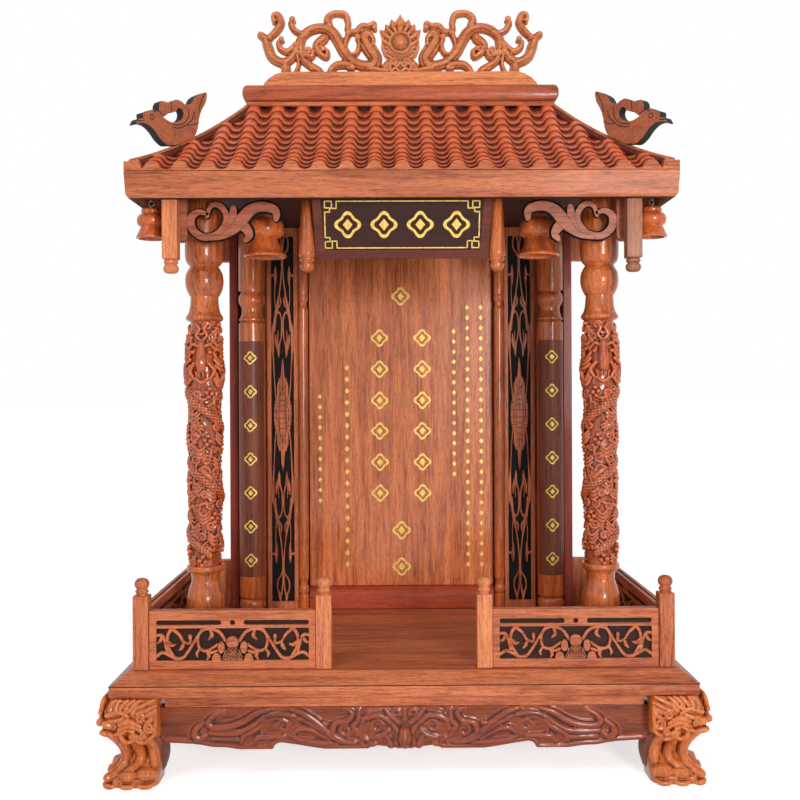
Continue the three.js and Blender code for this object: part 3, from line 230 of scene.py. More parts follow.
def along(rows, steps=6):
    """A smooth run through rows of numbers, with so many steps from one row to the next."""
    rows = np.array(rows, dtype=float)
    padded = np.vstack([2 * rows[0] - rows[1], rows, 2 * rows[-1] - rows[-2]])
    gaps = np.linalg.norm(np.diff(padded, axis=0), axis=1) + 1e-9
    shorter = np.minimum(gaps[:-1], gaps[1:]) / (gaps[:-1] + gaps[1:])
    lean = (padded[2:] - padded[:-2]) * shorter[:, None]
    share = np.linspace(0, 1, steps, endpoint=False)[:, None]
    run = [b + (3 * (c - b) - 2 * out - back) * share ** 2 + (2 * (b - c) + out + back) * share ** 3
           + out * share for b, c, out, back in zip(rows, rows[1:], lean, lean[1:])]
    return np.vstack([*run, rows[-1:]])


def rounded(run):
    """A run of x, y, z and radius with a round tip added at both ends."""
    tips = []
    for end, inner in ((run[0], run[1]), (run[-1], run[-2])):
        way = end[:3] - inner[:3]
        way = way / max(np.linalg.norm(way), 1e-6)
        tips.append([np.append(end[:3] + way * end[3] * out, end[3] * share)
                     for out, share in ((0.55, 0.82), (0.92, 0.36))])
    return np.vstack([tips[0][::-1], run, tips[1]])


def curve_shape(curve):
    """A curve's solid as a bmesh with its doubled points merged."""
    holder = bpy.data.objects.new("line", curve)
    mesh = bpy.data.meshes.new_from_object(holder)
    shape = bmesh.new()
    shape.from_mesh(mesh)
    bmesh.ops.remove_doubles(shape, verts=shape.verts, dist=0.002 * MM)
    bpy.data.objects.remove(holder)
    bpy.data.curves.remove(curve)
    bpy.data.meshes.remove(mesh)
    return shape


def tubes(strokes, sides=2, steps=6, into=None):
    """Round strokes: each is rows of x, y, z and radius in millimetres."""
    curve = bpy.data.curves.new("strokes", "CURVE")
    curve.dimensions = "3D"
    curve.bevel_depth = 1
    curve.bevel_resolution = sides
    curve.use_fill_caps = True
    for rows in strokes:
        run = rounded(along(rows, steps))
        spline = curve.splines.new("POLY")
        spline.points.add(len(run) - 1)
        for point, (x, y, z, radius) in zip(spline.points, run):
            point.co = (x * MM, y * MM, z * MM, 1)
            point.radius = max(radius, 0.05) * MM
    shape = curve_shape(curve)
    if into is None:
        return shape
    return fused(into, shape)


def fused(shape, *others):
    """Adds other bmeshes to the first one."""
    for other in others:
        mesh = bpy.data.meshes.new("part")
        other.to_mesh(mesh)
        other.free()
        shape.from_mesh(mesh)
        bpy.data.meshes.remove(mesh)
    return shape


def evaluated(holder):
    """An object's mesh with its modifiers applied."""
    graph = bpy.context.evaluated_depsgraph_get()
    return bpy.data.meshes.new_from_object(holder.evaluated_get(graph), depsgraph=graph)


def carve(shape, voxel, smoothing=2, depth=1.0, spread=22, keep=1.0):
    """Fuses a rough shape into one carved skin and marks in "hollow" how deep each point of it lies."""
    mesh = bpy.data.meshes.new("rough")
    shape.to_mesh(mesh)
    shape.free()
    holder = bpy.data.objects.new("rough", mesh)
    scene.collection.objects.link(holder)
    fuse = holder.modifiers.new("fuse", "REMESH")
    fuse.mode = "VOXEL"
    fuse.voxel_size = voxel * MM
    soften = holder.modifiers.new("soften", "SMOOTH")
    soften.iterations = smoothing
    fine = evaluated(holder)
    soften.iterations = smoothing + spread
    coarse = evaluated(holder)
    count = len(fine.vertices)
    here, there, out = (np.empty(count * 3) for _ in range(3))
    fine.vertices.foreach_get("co", here)
    coarse.vertices.foreach_get("co", there)
    fine.vertices.foreach_get("normal", out)
    gap = ((there - here) * out).reshape(-1, 3).sum(axis=1)
    deep = np.clip(0.5 + gap / (2 * depth * MM), 0, 1)
    fine.attributes.new("hollow", "FLOAT", "POINT").data.foreach_set("value", deep)
    used = [mesh, coarse, fine]
    if keep < 1:
        holder.modifiers.clear()
        holder.data = fine
        thin = holder.modifiers.new("thin", "DECIMATE")
        thin.ratio = keep
        fine = evaluated(holder)
        used.append(fine)
    carved = bmesh.new()
    carved.from_mesh(fine)
    bpy.data.objects.remove(holder)
    for mesh in used:
        bpy.data.meshes.remove(mesh)
    return carved


def level_cut(shape, height, side, close=True):
    """Cuts off what lies over (1) or under (-1) a height in millimetres, and closes the cut."""
    bmesh.ops.bisect_plane(shape, geom=shape.verts[:] + shape.edges[:] + shape.faces[:],
                           plane_co=(0, 0, height * MM), plane_no=(0, 0, side), clear_outer=True)
    if close:
        bmesh.ops.holes_fill(shape, edges=[e for e in shape.edges if e.is_boundary], sides=0)
    return shape


def mirrored(shape, *axes):
    """A copy of a shape, mirrored about the middle of the shrine along the given axes."""
    copy = shape.copy()
    scale = [-1 if axis in axes else 1 for axis in "XYZ"]
    bmesh.ops.scale(copy, verts=copy.verts, vec=scale)
    if len(axes) % 2:
        bmesh.ops.reverse_faces(copy, faces=copy.faces)
    return copy


def spiral(centre, radius, start, turns, thick, steps=10):
    """Rows of a snail curl in a plane: from its outer end in to the middle, thinning as it goes."""
    rows = []
    for step in range(steps + 1):
        share = step / steps
        turn = math.radians(start) + math.tau * turns * share
        reach = radius * (1 - 0.82 * share)
        rows.append((centre[0] + reach * math.cos(turn), centre[1] + reach * math.sin(turn),
                     thick * (1 - 0.45 * share)))
    return rows


def publish(name, shape, paint, stands_for=None, body="root", smooth=40):
    """Turns a bmesh into a finished piece that rides on a body, and stands for the CAD node that its name
    starts with unless another is given."""
    mesh = bpy.data.meshes.new(name)
    shape.to_mesh(mesh)
    shape.free()
    piece = bpy.data.objects.new(name, mesh)
    scene.collection.objects.link(piece)
    for entry in paint if isinstance(paint, list) else [paint]:
        mesh.materials.append(entry)
    mesh.shade_smooth()
    mesh.set_sharp_from_angle(angle=math.radians(smooth))
    if "hollow" not in mesh.attributes:
        piece.modifiers.new("level", "WEIGHTED_NORMAL").keep_sharp = True
    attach(piece, body)
    if stands_for is None:
        stands_for = name.rpartition("_")[0]
    if stands_for:
        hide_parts(stands_for)
    return piece


def at_corners(name, shape, paint, made):
    """Publishes a piece made for the front corner on one side, and its mirror images at the others."""
    for end in ("front", "rear"):
        for side in ("left", "right"):
            axes = ("X" if side != made else "") + ("Y" if end == "rear" else "")
            publish(name.format(f"{end}_{side}"), mirrored(shape, *axes), paint)
    shape.free()


def span(node):
    """A CAD node's box in millimetres: its lowest and its highest corner."""
    return [[part / MM for part in corner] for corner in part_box(node)]


def mid(low, high):
    """The middle in X and Y between two corners."""
    return (low[0] + high[0]) / 2, (low[1] + high[1]) / 2


# The leg's block: shares of its height, then its shift off the middle and its half width in shares of
# its width.
LEG_RINGS = [(0, -0.06, 0.4), (0.1, -0.05, 0.42), (0.2, -0.13, 0.36), (0.3, -0.2, 0.3), (0.42, -0.24, 0.26),
             (0.5, -0.2, 0.3), (0.56, -0.13, 0.36), (0.62, -0.06, 0.42), (0.8, -0.025, 0.45),
             (0.93, -0.04, 0.435), (1, -0.07, 0.405)]
leg_low, leg_high = span("leg_front_left")
LEG_TALL, LEG_WIDE = leg_high[2], 45
leg_x, leg_y = mid(leg_low, leg_high)
# Strokes on the front face: millimetres outwards in X and in Y from the middle, height and radius.
SINEWS = [
    [(13, 13, 40, 4.2), (10.6, 10.6, 37.5, 4.6), (7.4, 7.4, 32.5, 4.6), (5.4, 5.4, 27.5, 4.3),
     (4.4, 4.4, 22, 4), (4.8, 4.8, 16.8, 3.9), (7.8, 7.8, 12, 4), (12, 12, 9.2, 4), (15.2, 15.2, 8, 3.4)],
    [(-4.4, 15.5, 39, 4.8), (-4.6, 12, 35.5, 4.7), (-4.6, 7.8, 30, 4.3), (-6.2, 5.8, 25, 3.8),
     (-7.2, 5.4, 20, 3.7), (-5.8, 7.8, 15.6, 3.7), (-1.6, 12, 12.4, 3.8), (1.6, 14.2, 9.4, 3.8)],
    [(5.6, 13.4, 8.2, 3.2), (0.6, 15, 9, 4.5), (-4, 14, 9, 3.4)],
    [(-13, 16.5, 38, 3.6), (-14.6, 12.6, 34, 3.7), (-16, 8, 29, 4), (-17.2, 6.4, 23, 4.3),
     (-17.6, 6.6, 18, 4.3), (-17.4, 7.4, 15.8, 3.4)],
    [(-7, 13, 9, 3.6), (-12.2, 14.2, 10.2, 5.2), (-17, 13, 9.6, 4.4)],
]
MASK = [
    [(10.9, 20.6, 56.4, 1.8), (11.5, 19.9, 60.1, 1.8), (10.4, 19.2, 63.3, 1.7), (7.7, 18.8, 65.6, 1.1)],
    [(7.5, 20.3, 58.2, 2.1), (7.2, 19.5, 61.9, 2), (4.9, 18.8, 65.6, 1.1)],
    [(4.2, 19.9, 60.1, 1.6), (1.5, 19.2, 63.5, 1.6), (-0.9, 18.8, 65.6, 1)],
    [(0.1, 19.8, 60.5, 1.5), (-2.8, 19.2, 63.5, 1.5), (-5.5, 18.8, 65.6, 1)],
    [(-2.8, 20.2, 58.7, 1.5), (-6.1, 19.4, 62.6, 1.5), (-9.6, 18.8, 65.4, 1)],
    [(-4.7, 20.6, 56.4, 1.6), (-7.3, 19.9, 59.8, 1.8), (-11.9, 19.6, 61.7, 1.7), (-16.4, 19.1, 64, 1.5),
     (-19.7, 18.8, 65.6, 1)],
    [(-8.8, 20.6, 56.6, 1.6), (-14.4, 20.3, 58.2, 2), (-18.2, 19.8, 60.3, 1.6),
     (-21.3, 19.6, 61.7, 1)],
    [(-12.9, 20.7, 54.1, 1.5), (-17.9, 20.7, 56.1, 1.8), (-21.3, 20.2, 58.7, 1.1)],
    [(-14.4, 20.7, 49.9, 1.5), (-18.7, 20.7, 52.7, 2), (-21.2, 20.6, 56.4, 1.2)],
    [(14.1, 20.7, 55, 1.8), (9.5, 21, 56.4, 1.8), (5.4, 20.8, 57.5, 1.7), (2.1, 20.8, 56.3, 1.6),
     (-1.4, 20.7, 54.2, 1.2)],
    [(11.8, 20.7, 50.8, 1.7), (8.1, 21, 51.2, 1.8), (4.5, 20.9, 52.1, 1.6), (1.2, 20.7, 54, 1.1)],
    [(14.8, 20.5, 48.5, 3.2), (11.6, 20.1, 47.6, 2.8)],
    [(4.5, 20.3, 48.5, 2.2), (-0.7, 20.5, 50.4, 2.7), (-4.7, 20.3, 49.5, 2.2), (-9.8, 20.3, 46.7, 1.7)],
    [(5.4, 20.6, 44.6, 1.5), (1.2, 20.9, 46.6, 1.7), (-2.8, 20.9, 47.4, 1.7), (-7.8, 20.7, 45.5, 1.6),
     (-11.9, 20.3, 43, 1.5), (-16.2, 20.2, 42.3, 1.2)],
    [(7.9, 19.7, 41.2, 1.5), (3.5, 20.2, 42.3, 1.6), (0.1, 20.6, 44.3, 1.3)],
    [(-2.2, 19.9, 43.9, 1.8), (-4.7, 19.7, 43, 1.8)],
    [(-4.7, 19.4, 40.7, 1.5), (-7.3, 19.4, 39.3, 1.7), (-10.8, 18.8, 37.5, 1.3)],
    [(16.6, 18.6, 41.4, 2.3), (13, 18.4, 40.7, 2.3), (9.4, 18.4, 39.3, 1.8)],
    [(4.2, 19.7, 40.2, 1.5), (2.6, 18.8, 36.5, 1.8), (-0.2, 18.2, 34.7, 1.6), (-3.2, 18.4, 35.6, 1.5),
     (-5.5, 18.9, 37.2, 1.3)],
    [(-5.5, 18.9, 37.2, 1.3), (-8.8, 18.3, 35.2, 1.6), (-12.5, 18.2, 34.5, 1.6), (-15.8, 18.9, 37.2, 1.5),
     (-19.7, 19.8, 40.5, 1.6), (-21, 20.5, 43.9, 1.5)],
    [(-21, 20.4, 46.7, 1.5), (-21.2, 20.4, 52.2, 1.5), (-21.3, 20.1, 57.7, 1.3)],
]
# Curls of the mane: place, radius, where they start, turns and thickness.
SNAILS = [((-10, 53.1), 3.6, 60, 1.35, 1.3), ((-16.4, 46.6), 4, 200, 1.6, 1.3),
          ((-11.5, 40.6), 2.4, 120, 1.4, 1.1), ((9.3, 46.6), 2.2, 0, 1.2, 1.1),
          ((-0.6, 59.4), 2.2, 200, 1.3, 1)]
FACE_OUT = 21.3  # how far the curls' face stands in front of the leg's middle
# Nails: the middle in X and Y and half the width. Soles: the pads that the toes stand on. Heel: the tuft
# behind the mouth, down each face and down the inner corner.
NAILS = [(13.6, 14, 4.4), (0.6, 15.6, 5.6), (-12.4, 15, 6)]
SOLES = [(13, 9, 4, 4), (0, 9, 4, 4), (-14, 9, 4, 4)]
HEEL = [[(-13, 4, 38, 5), (-16, 0, 31, 8.5), (-17.4, -3, 25, 9.3), (-17, -4, 17, 9), (-14.5, -3, 9.5, 8),
         (-12.5, -2, 6, 5.6)], [(-14, -14, 31, 9), (-14, -14, 9, 8.6)]]
leg = bmesh.new()
bmesh.ops.create_cube(leg, size=2)
bmesh.ops.subdivide_edges(leg, edges=leg.edges[:], cuts=11, use_grid_fill=True)
rings = along(LEG_RINGS)
for vert in leg.verts:
    x, y, up = vert.co.x, vert.co.y, (vert.co.z + 1) / 2
    half = np.interp(up, rings[:, 0], rings[:, 2]) * LEG_WIDE
    shift = np.interp(up, rings[:, 0], rings[:, 1]) * LEG_WIDE
    squash = max(abs(x), abs(y)) / max((x ** 4 + y ** 4) ** 0.25, 1e-6)
    vert.co = ((leg_x + x * squash * half - shift) * MM, (leg_y + y * squash * half - shift) * MM,
               up * LEG_TALL * MM)
rows_on_face = SINEWS + MASK
for place, radius, start, turns, thick in SNAILS:
    rows_on_face.append([(out, FACE_OUT, up, r) for out, up, r in spiral(place, radius, start, turns, thick)])
for x, y, half in NAILS:
    rows_on_face.append([(x + half, y - 0.4, 3.2, 1.5), (x + half * 0.5, y + 2.4, 2, 1.9),
                         (x - half * 0.5, y + 2.4, 2, 1.9), (x - half, y - 0.4, 3.2, 1.5)])
rows_on_face.append(SOLES)


def on_leg(rows, swap=False):
    """A stroke in millimetres out and forward from the leg's middle, on its front or its outer face."""
    return [(leg_x - (front if swap else out), leg_y - (out if swap else front), up, radius)
            for out, front, up, radius in rows]


leg = tubes([on_leg(rows, swap) for rows in rows_on_face for swap in (False, True)], into=leg)
# The foot is cut level a hair above the floor, and the cut is set down on it.
leg = level_cut(carve(leg, 0.55, 1, depth=0.5, keep=0.85), 0.2, -1)
for vert in leg.verts:
    if vert.co.z < 0.25 * MM:
        vert.co.z = 0
heel = carve(tubes([on_leg(HEEL[0]), on_leg(HEEL[0], True), on_leg(HEEL[1])]), 0.9, 3)
golden_carving = rosewood("golden_carving", "Z", (224, 124, 60), (154, 70, 32), 0.28, 0.6, hollow_shade=0.95)
# The heels' tuft is matt unlacquered wood, its darker colour a painted shade.
heel_wood_shaded = rosewood("umber_rosewood", "Z", (136, 84, 62), (92, 52, 38), 0.5, 0.1)
at_corners("leg_{}_heel", heel, heel_wood_shaded, "left")
at_corners("leg_{}_carving", leg, golden_carving, "left")

# Waist and platform: two boards of the same wood, the upper one bevelled. A fine groove runs round the upper
# board's edge under its bead, drawn as a thin dark band a hair proud of the board: painted shade for the
# groove.


def shifted(shape, x, y, z):
    """Moves a shape by millimetres."""
    bmesh.ops.translate(shape, verts=shape.verts, vec=(x * MM, y * MM, z * MM))
    return shape


def block(low, high):
    """A plain box between two corners in millimetres."""
    shape = bmesh.new()
    bmesh.ops.create_cube(shape, size=1)
    bmesh.ops.scale(shape, verts=shape.verts, vec=[(b - a) * MM for a, b in zip(low, high)])
    return shifted(shape, *[(a + b) / 2 for a, b in zip(low, high)])


def eased(shape, edges, offset=0.6):
    """Breaks the given sharp edges by so many millimetres."""
    bmesh.ops.bevel(shape, geom=edges, offset=offset * MM, offset_type="OFFSET", segments=2, profile=0.5,
                    affect="EDGES", clamp_overlap=True, material=-1)
    return shape


def board(node, paint, edge=0.6):
    """A CAD node's own shape, merged, with its sharp edges broken by the given millimetres."""
    shape = bmesh.new()
    shape.from_mesh(nodes[node].data)
    bmesh.ops.remove_doubles(shape, verts=shape.verts, dist=0.005 * MM)
    bmesh.ops.dissolve_limit(shape, angle_limit=math.radians(2), verts=shape.verts, edges=shape.edges)
    eased(shape, [e for e in shape.edges
                  if len(e.link_faces) == 2 and e.calc_face_angle() > math.radians(35)], edge)
    bmesh.ops.triangulate(shape, faces=[f for f in shape.faces if len(f.verts) > 4])
    return publish(f"{node}_wood", shape, paint)


matt_wood = {grain: rosewood(f"matt_rosewood_{grain}", grain, (222, 130, 86), (132, 58, 34), 0.5, 0.08)
             for grain in "XYZ"}
board("waist_board", matt_wood["X"])
board("platform_board", matt_wood["X"])
low, high = span("platform_board")
# The groove's painted shade: a dark band at these heights over the board's foot, a hair proud of its sides.
GROOVE_LOW, GROOVE_HIGH, GROOVE_OUT = 8.65, 9.3, 0.12
corners = [(low[0], low[1]), (high[0], low[1]), (high[0], high[1]), (low[0], high[1])]
groove = bmesh.new()
for (x0, y0), (x1, y1) in zip(corners, corners[1:] + corners[:1]):
    fused(groove, block((min(x0, x1) - GROOVE_OUT, min(y0, y1) - GROOVE_OUT, low[2] + GROOVE_LOW),
                        (max(x0, x1) + GROOVE_OUT, max(y0, y1) + GROOVE_OUT, low[2] + GROOVE_HIGH)))
publish("platform_board_groove", groove, rosewood("groove_shade", "X", (92, 44, 30), (56, 26, 18), 0.6))

# Aprons: boards between the legs with a shaped lower edge, carved with long leaves and scrolls that
# meet at an ornament in the middle.


def swung(shape, degrees, axis="Z"):
    """Turns a shape about an axis through the middle of the floor."""
    bmesh.ops.rotate(shape, verts=shape.verts, cent=(0, 0, 0),
                     matrix=Matrix.Rotation(math.radians(degrees), 3, axis))
    return shape


def sawn(outline, holes, front, back, edge=0.35):
    """A board sawn to an outline of x and z, with holes through it, between two depths in Y."""
    curve = bpy.data.curves.new("sawn", "CURVE")
    curve.dimensions = "2D"
    curve.fill_mode = "BOTH"
    curve.extrude = ((back - front) / 2 - edge) * MM
    curve.bevel_depth = edge * MM
    curve.bevel_resolution = 1
    curve.offset = -edge * MM
    for loop in (outline, *holes):
        spline = curve.splines.new("POLY")
        spline.use_cyclic_u = True
        spline.points.add(len(loop) - 1)
        for point, (x, z) in zip(spline.points, loop):
            point.co = (x * MM, z * MM, 0, 1)
    shape = shifted(swung(curve_shape(curve), 90, "X"), 0, (front + back) / 2, 0)
    bmesh.ops.recalc_face_normals(shape, faces=shape.faces)
    return shape


FLATTEN = 60  # how far a round stroke is stretched in depth before it is cut flat


def ribbons(strokes, front, back, steps=6, proud=0.015):
    """Flat sawn strips: rows of x, z and half width, between two depths in Y, each a hair prouder."""
    middle, half = (front + back) / 2, (back - front) / 2
    strips = bmesh.new()
    for place, rows in enumerate(strokes):
        strip = tubes([[(x, middle, z, width) for x, z, width in rows]], steps=steps)
        reach = (half + proud * place) * MM
        for vert in strip.verts:
            lean = (vert.co.y - middle * MM) * FLATTEN
            vert.co.y = middle * MM + max(-reach, min(reach, lean))
        fused(strips, strip)
    return strips


def across(name, shape, paint, stands_for=None, body="root"):
    """Publishes a left-hand piece and its mirror image on the right; {} stands for the side."""
    for side, part in (("left", shape), ("right", mirrored(shape, "X"))):
        publish(name.format(side), part, paint, stands_for, body.format(side))


APRON_TAB = 3.3  # how far an apron's ends run in behind the legs
# The lower edge from the middle out, in shares of the half length and of the height.
APRON_EDGE = [(0, 1), (0.06, 0.96), (0.124, 0.92), (0.16, 0.95), (0.2, 0.975), (0.3, 0.975), (0.36, 0.94),
              (0.42, 0.88), (0.48, 0.83), (0.515, 0.81), (0.54, 0.88), (0.55, 0.98), (0.6, 0.995),
              (0.66, 0.975), (0.73, 0.92), (0.8, 0.9), (0.83, 0.85), (0.9, 0.82), (1, 0.788)]
# Carved strokes from the middle of the long apron to its left: millimetres out, height over its lowest
# point and radius.
LEAVES = [
    [(135, 28.5, 1.2), (142, 25, 1.9), (145.5, 20.5, 2.3), (142, 17, 2.3), (130, 17.5, 2.4), (119, 21.5, 2.4),
     (110, 27, 2.2), (101, 29.8, 1.6)],
    [(149, 20.5, 1.5), (154.5, 16, 2.2), (155.5, 11, 2.6), (151.5, 8.5, 2.2), (147, 11, 1.4)],
    [(144, 13, 1.7), (133, 12.5, 2.1), (121, 13.5, 2.2), (112, 18, 2), (104, 24, 1.7)],
    [(142, 8.5, 1.4), (131, 8.5, 1.8), (123, 8, 1.6)],
    [(121, 6, 1.4), (119, 11, 2.1), (108, 17, 1.9), (102, 24.5, 1.7), (92, 26.5, 1.7), (83, 25, 1.6)],
    [(106, 12, 1.1), (105, 19, 1.5), (98.5, 23, 1.4), (90, 22.5, 1.2)],
    [(112, 5.5, 1.2), (108, 9, 1.8), (98, 9.5, 1.6), (90, 9.5, 1.4)],
    [(84, 30, 1.6), (75, 26.8, 2.2), (63, 18.5, 2.3), (54, 9.5, 2), (46, 6, 1.7), (37, 5, 1.4)],
    [(83, 25, 1.2), (73, 21, 1.8), (62, 14, 1.7), (55, 8.5, 1.3)],
    [(84, 11, 1.2), (77, 15.5, 2), (68.5, 14, 1.9), (56, 7.5, 1.3)],
    [(84, 10, 1.2), (77, 6.8, 1.7), (64, 5, 1.6), (50, 4, 1.2)],
    [(43, 30, 1.4), (39, 26.5, 1.8), (43, 21, 1.9), (51.5, 19, 2), (53.5, 11.5, 2), (47, 6.8, 1.8)],
    [(34, 29, 1.3), (34.5, 21, 1.7), (38, 17, 1.6), (34, 12, 1.3)],
    [(33, 14.5, 1.5), (30, 22.5, 2), (19, 25, 2), (11, 20, 1.6)],
    [(27, 22, 1.2), (26.5, 27, 1.6), (18, 29, 1.4)],
    [(14.5, 30, 1.4), (10.5, 24.5, 1.8), (4.5, 19.5, 1.5)],
    [(14, 10, 1.4), (10.5, 3.5, 1.6)],
    [(9.5, 19, 1.3), (5.5, 12, 1.6), (6.5, 4.5, 1.5)],
    [(0.1, 30, 1.5), (0.1, 22, 1.3)],
    [(0.1, 12, 4.2), (0.1, 8, 4.8), (0.1, 4, 3.4)],
    [(60, 19, 1.9), (58.5, 19, 1.9)],
    [(24, 8.5, 1.2), (17, 10, 1.6), (12, 14, 1.3)],
]
CURLS = [((90, 17.2), 4.6, 20, 1.4), ((44, 14), 4.6, 100, -1.4), ((20.5, 17), 5, 160, -1.5),
         ((30, 4.5), 3.4, 90, 1.4), ((6.5, 26.5), 3.2, 200, -1.4)]


def apron(half_span, face, stretch):
    """The board and the carving of an apron in X and Z, its face to the front."""
    low, high = span("apron_front")
    tall = high[2] - low[2]
    half_span += APRON_TAB
    edge = [(out * half_span, high[2] - drop * tall) for out, drop in along(APRON_EDGE, 4)]
    outline = [(-half_span, high[2]), *[(-x, z) for x, z in reversed(edge)], *edge[1:], (half_span, high[2])]
    strokes = []
    for sign in (-1, 1):
        for rows in LEAVES + [spiral(*curl, 1.4) for curl in CURLS]:
            strokes.append([(sign * out * stretch, face + 1.5, low[2] + up, radius * 1.3)
                            for out, up, radius in rows])
        strokes.append([(sign * x, face + 1.4, z + 1.2, 1.3) for x, z in edge[8::3]])
    ground = [[(x, z, radius * 1.9) for x, _, z, radius in rows] for rows in strokes]
    carving = fused(tubes(strokes, steps=5), ribbons(ground, face + 0.7, face + 2, steps=4, proud=0))
    level_cut(carving, low[2] + 0.1, -1)
    level_cut(carving, high[2] - 0.1, 1)
    return sawn(outline, [], face + 1.0, face + 12, 0.5), carve(carving, 0.55, 1, depth=0.26, keep=0.5)


apron_paints = {grain: (rosewood(f"apron_rosewood_{grain}", grain, (148, 72, 41), (82, 34, 21), 0.42, 0.2),
                        rosewood(f"carved_rosewood_{grain}", grain, (152, 70, 40), (84, 33, 19), 0.34, 0.5,
                                 hollow_shade=1)) for grain in "XY"}
apron_low, apron_high = span("apron_front")
for shape, suffix, paint in zip(apron(apron_high[0], apron_low[1], 1), ("wood", "carving"),
                                apron_paints["X"]):
    publish(f"apron_rear_{suffix}", mirrored(shape, "Y"), paint)
    publish(f"apron_front_{suffix}", shape, paint)
low, high = span("apron_left")
for shape, suffix, paint in zip(apron(high[1], low[0], high[1] / apron_high[0]), ("wood", "carving"),
                                apron_paints["Y"]):
    across(f"apron_{{}}_{suffix}", swung(shape, -90), paint)

# Fence posts: square rosewood posts with broken edges, two on each side of the gate, each with a small
# turned knob.


def turned(rows, height, width, place, segments=48, steps=4):
    """A turned piece: rows are shares of the height and of the width, spun about an upright axis."""
    shape = bmesh.new()
    run = along(rows, steps)
    line = [(0, run[0][0]), *[(max(out, 0.001), up) for up, out in run], (0, run[-1][0])]
    points = [shape.verts.new((out * width * MM, 0, up * height * MM)) for out, up in line]
    for low, high in zip(points, points[1:]):
        shape.edges.new((low, high))
    bmesh.ops.spin(shape, geom=shape.verts[:] + shape.edges[:], cent=(0, 0, 0), axis=(0, 0, 1),
                   angle=math.tau, steps=segments, use_merge=True)
    bmesh.ops.remove_doubles(shape, verts=shape.verts, dist=0.001 * MM)
    bmesh.ops.recalc_face_normals(shape, faces=shape.faces)
    return shifted(shape, *place)


FINIAL = [(0, 0.36), (0.08, 0.36), (0.22, 0.46), (0.34, 0.36), (0.48, 0.45), (0.62, 0.5), (0.8, 0.46),
          (0.94, 0.3), (1, 0.06)]
FINIAL_HEIGHT, FINIAL_WIDTH, POST_HALF = 13, 11, 5.8
pale_wood = rosewood("pale_rosewood_Z", "Z", (236, 148, 98), (176, 92, 56), 0.45, 0.15)
for place, paint in (("outer", matt_wood["Z"]), ("inner", pale_wood)):
    low, high = span(f"front_post_{place}_left")
    (x, y), neck = mid(low, high), high[2] - FINIAL_HEIGHT
    post = block((x - POST_HALF, y - POST_HALF, low[2]), (x + POST_HALF, y + POST_HALF, neck))
    eased(post, post.edges[:])
    fused(post, turned(FINIAL, FINIAL_HEIGHT, FINIAL_WIDTH, (x, y, neck), 24))
    across(f"front_post_{place}_{{}}_wood", post, paint)

# Fence panels: a sawn board on each face, with slots above and vines round a lotus below, backed with dark
# wood. The lotus is outlined with fine black lines, painted shade for cuts.


def slot_hole(x0, x1, z0, z1, corner, steps=6):
    """A loop of x and z for a hole with rounded corners."""
    loop = []
    for x, z, start in ((x1 - corner, z1 - corner, 0), (x0 + corner, z1 - corner, 90),
                        (x0 + corner, z0 + corner, 180), (x1 - corner, z0 + corner, 270)):
        for step in range(steps + 1):
            angle = math.radians(start + 90 * step / steps)
            loop.append((x + corner * math.cos(angle), z + corner * math.sin(angle)))
    return loop


def placed(shares, x, z, wide, tall, unit):
    """Strokes in shares of a width and a height, with half widths in shares of a unit, in millimetres."""
    return [[(x + u * wide, z + v * tall, w * unit / 2) for u, v, w in rows] for rows in shares]


SKIN = 3  # how thick each face of a panel is
# How wide the stiles are, how far the slots are under the top, how tall they are and where they start,
# the radius of the hole between them, and how far the pocket is off the foot and the slots.
STILE, SLOT_DOWN, SLOT_TALL, SLOT_FROM, HOLE_ROUND, POCKET_UP, POCKET_DOWN = 5.2, 7.2, 3.6, 8.5, 1.9, 6.3, 6
# Black serves the lattice's real black backing and the painted shade of fine black lines.
black_backing = rosewood("black_backing", "X", (16, 16, 16), (6, 7, 7), 0.7, pores=0.1)
fence_backing = rosewood("fence_backing", "X", (58, 28, 20), (20, 13, 12), 0.6, pores=0.2)
VINES = [
    [(0.09, 0.6, 1), (0.18, 0.89, 1), (0.32, 0.98, 1), (0.42, 0.88, 0.9), (0.457, 0.65, 0.9),
     (0.43, 0.37, 0.9), (0.335, 0.3, 0.9), (0.24, 0.42, 0.8), (0.2, 0.5, 0.7)],
    [(0.4, 0.95, 0.9), (0.47, 0.7, 0.9), (0.58, 0.29, 0.9), (0.65, 0.09, 1), (0.74, 0.06, 1.1),
     (0.91, 0.25, 1), (1.02, 0.1, 1)],
    [(0.79, 1.02, 1.2), (0.85, 0.78, 1), (0.85, 0.45, 1), (0.776, 0.12, 1)],
    [(0.79, 0.99, 1.2), (0.7, 0.8, 0.9), (0.64, 0.58, 0.8), (0.56, 0.54, 0.8), (0.556, 0.75, 1.1)],
    [(1.02, 0.77, 0.9), (0.925, 0.78, 0.9), (0.88, 0.5, 0.9), (0.852, 0.2, 0.9)],
    [(0.43, 0.37, 0.7), (0.47, 0.22, 0.9), (0.46, 0.12, 0.5)],
    [(0.34, 0.3, 0.8), (0.31, 0.14, 1.1), (0.33, 0.05, 0.6)],
    [(0.335, 0.32, 0.7), (0.28, 0.24, 0.9), (0.21, 0.3, 0.8)],
    [(0.3, 0.98, 0.6), (0.27, 0.78, 1.2), (0.31, 0.66, 0.6)],
    [(0.64, 0.58, 0.7), (0.66, 0.42, 1.2), (0.69, 0.34, 0.6)],
    [(0.85, 0.6, 0.7), (0.8, 0.48, 1.2), (0.75, 0.5, 0.5)],
    [(0.925, 0.78, 0.6), (0.95, 0.6, 1.1), (0.985, 0.55, 0.6)],
]
# The lotus: how far out, how high, half width and half height, in shares of the pocket's height.
PETALS = [(0.35, 0.41, 0.12, 0.2), (0.5, 0.03, 0.15, 0.21), (0, 0.56, 0.2, 0.2)]
POD = (0.35, 0.42)


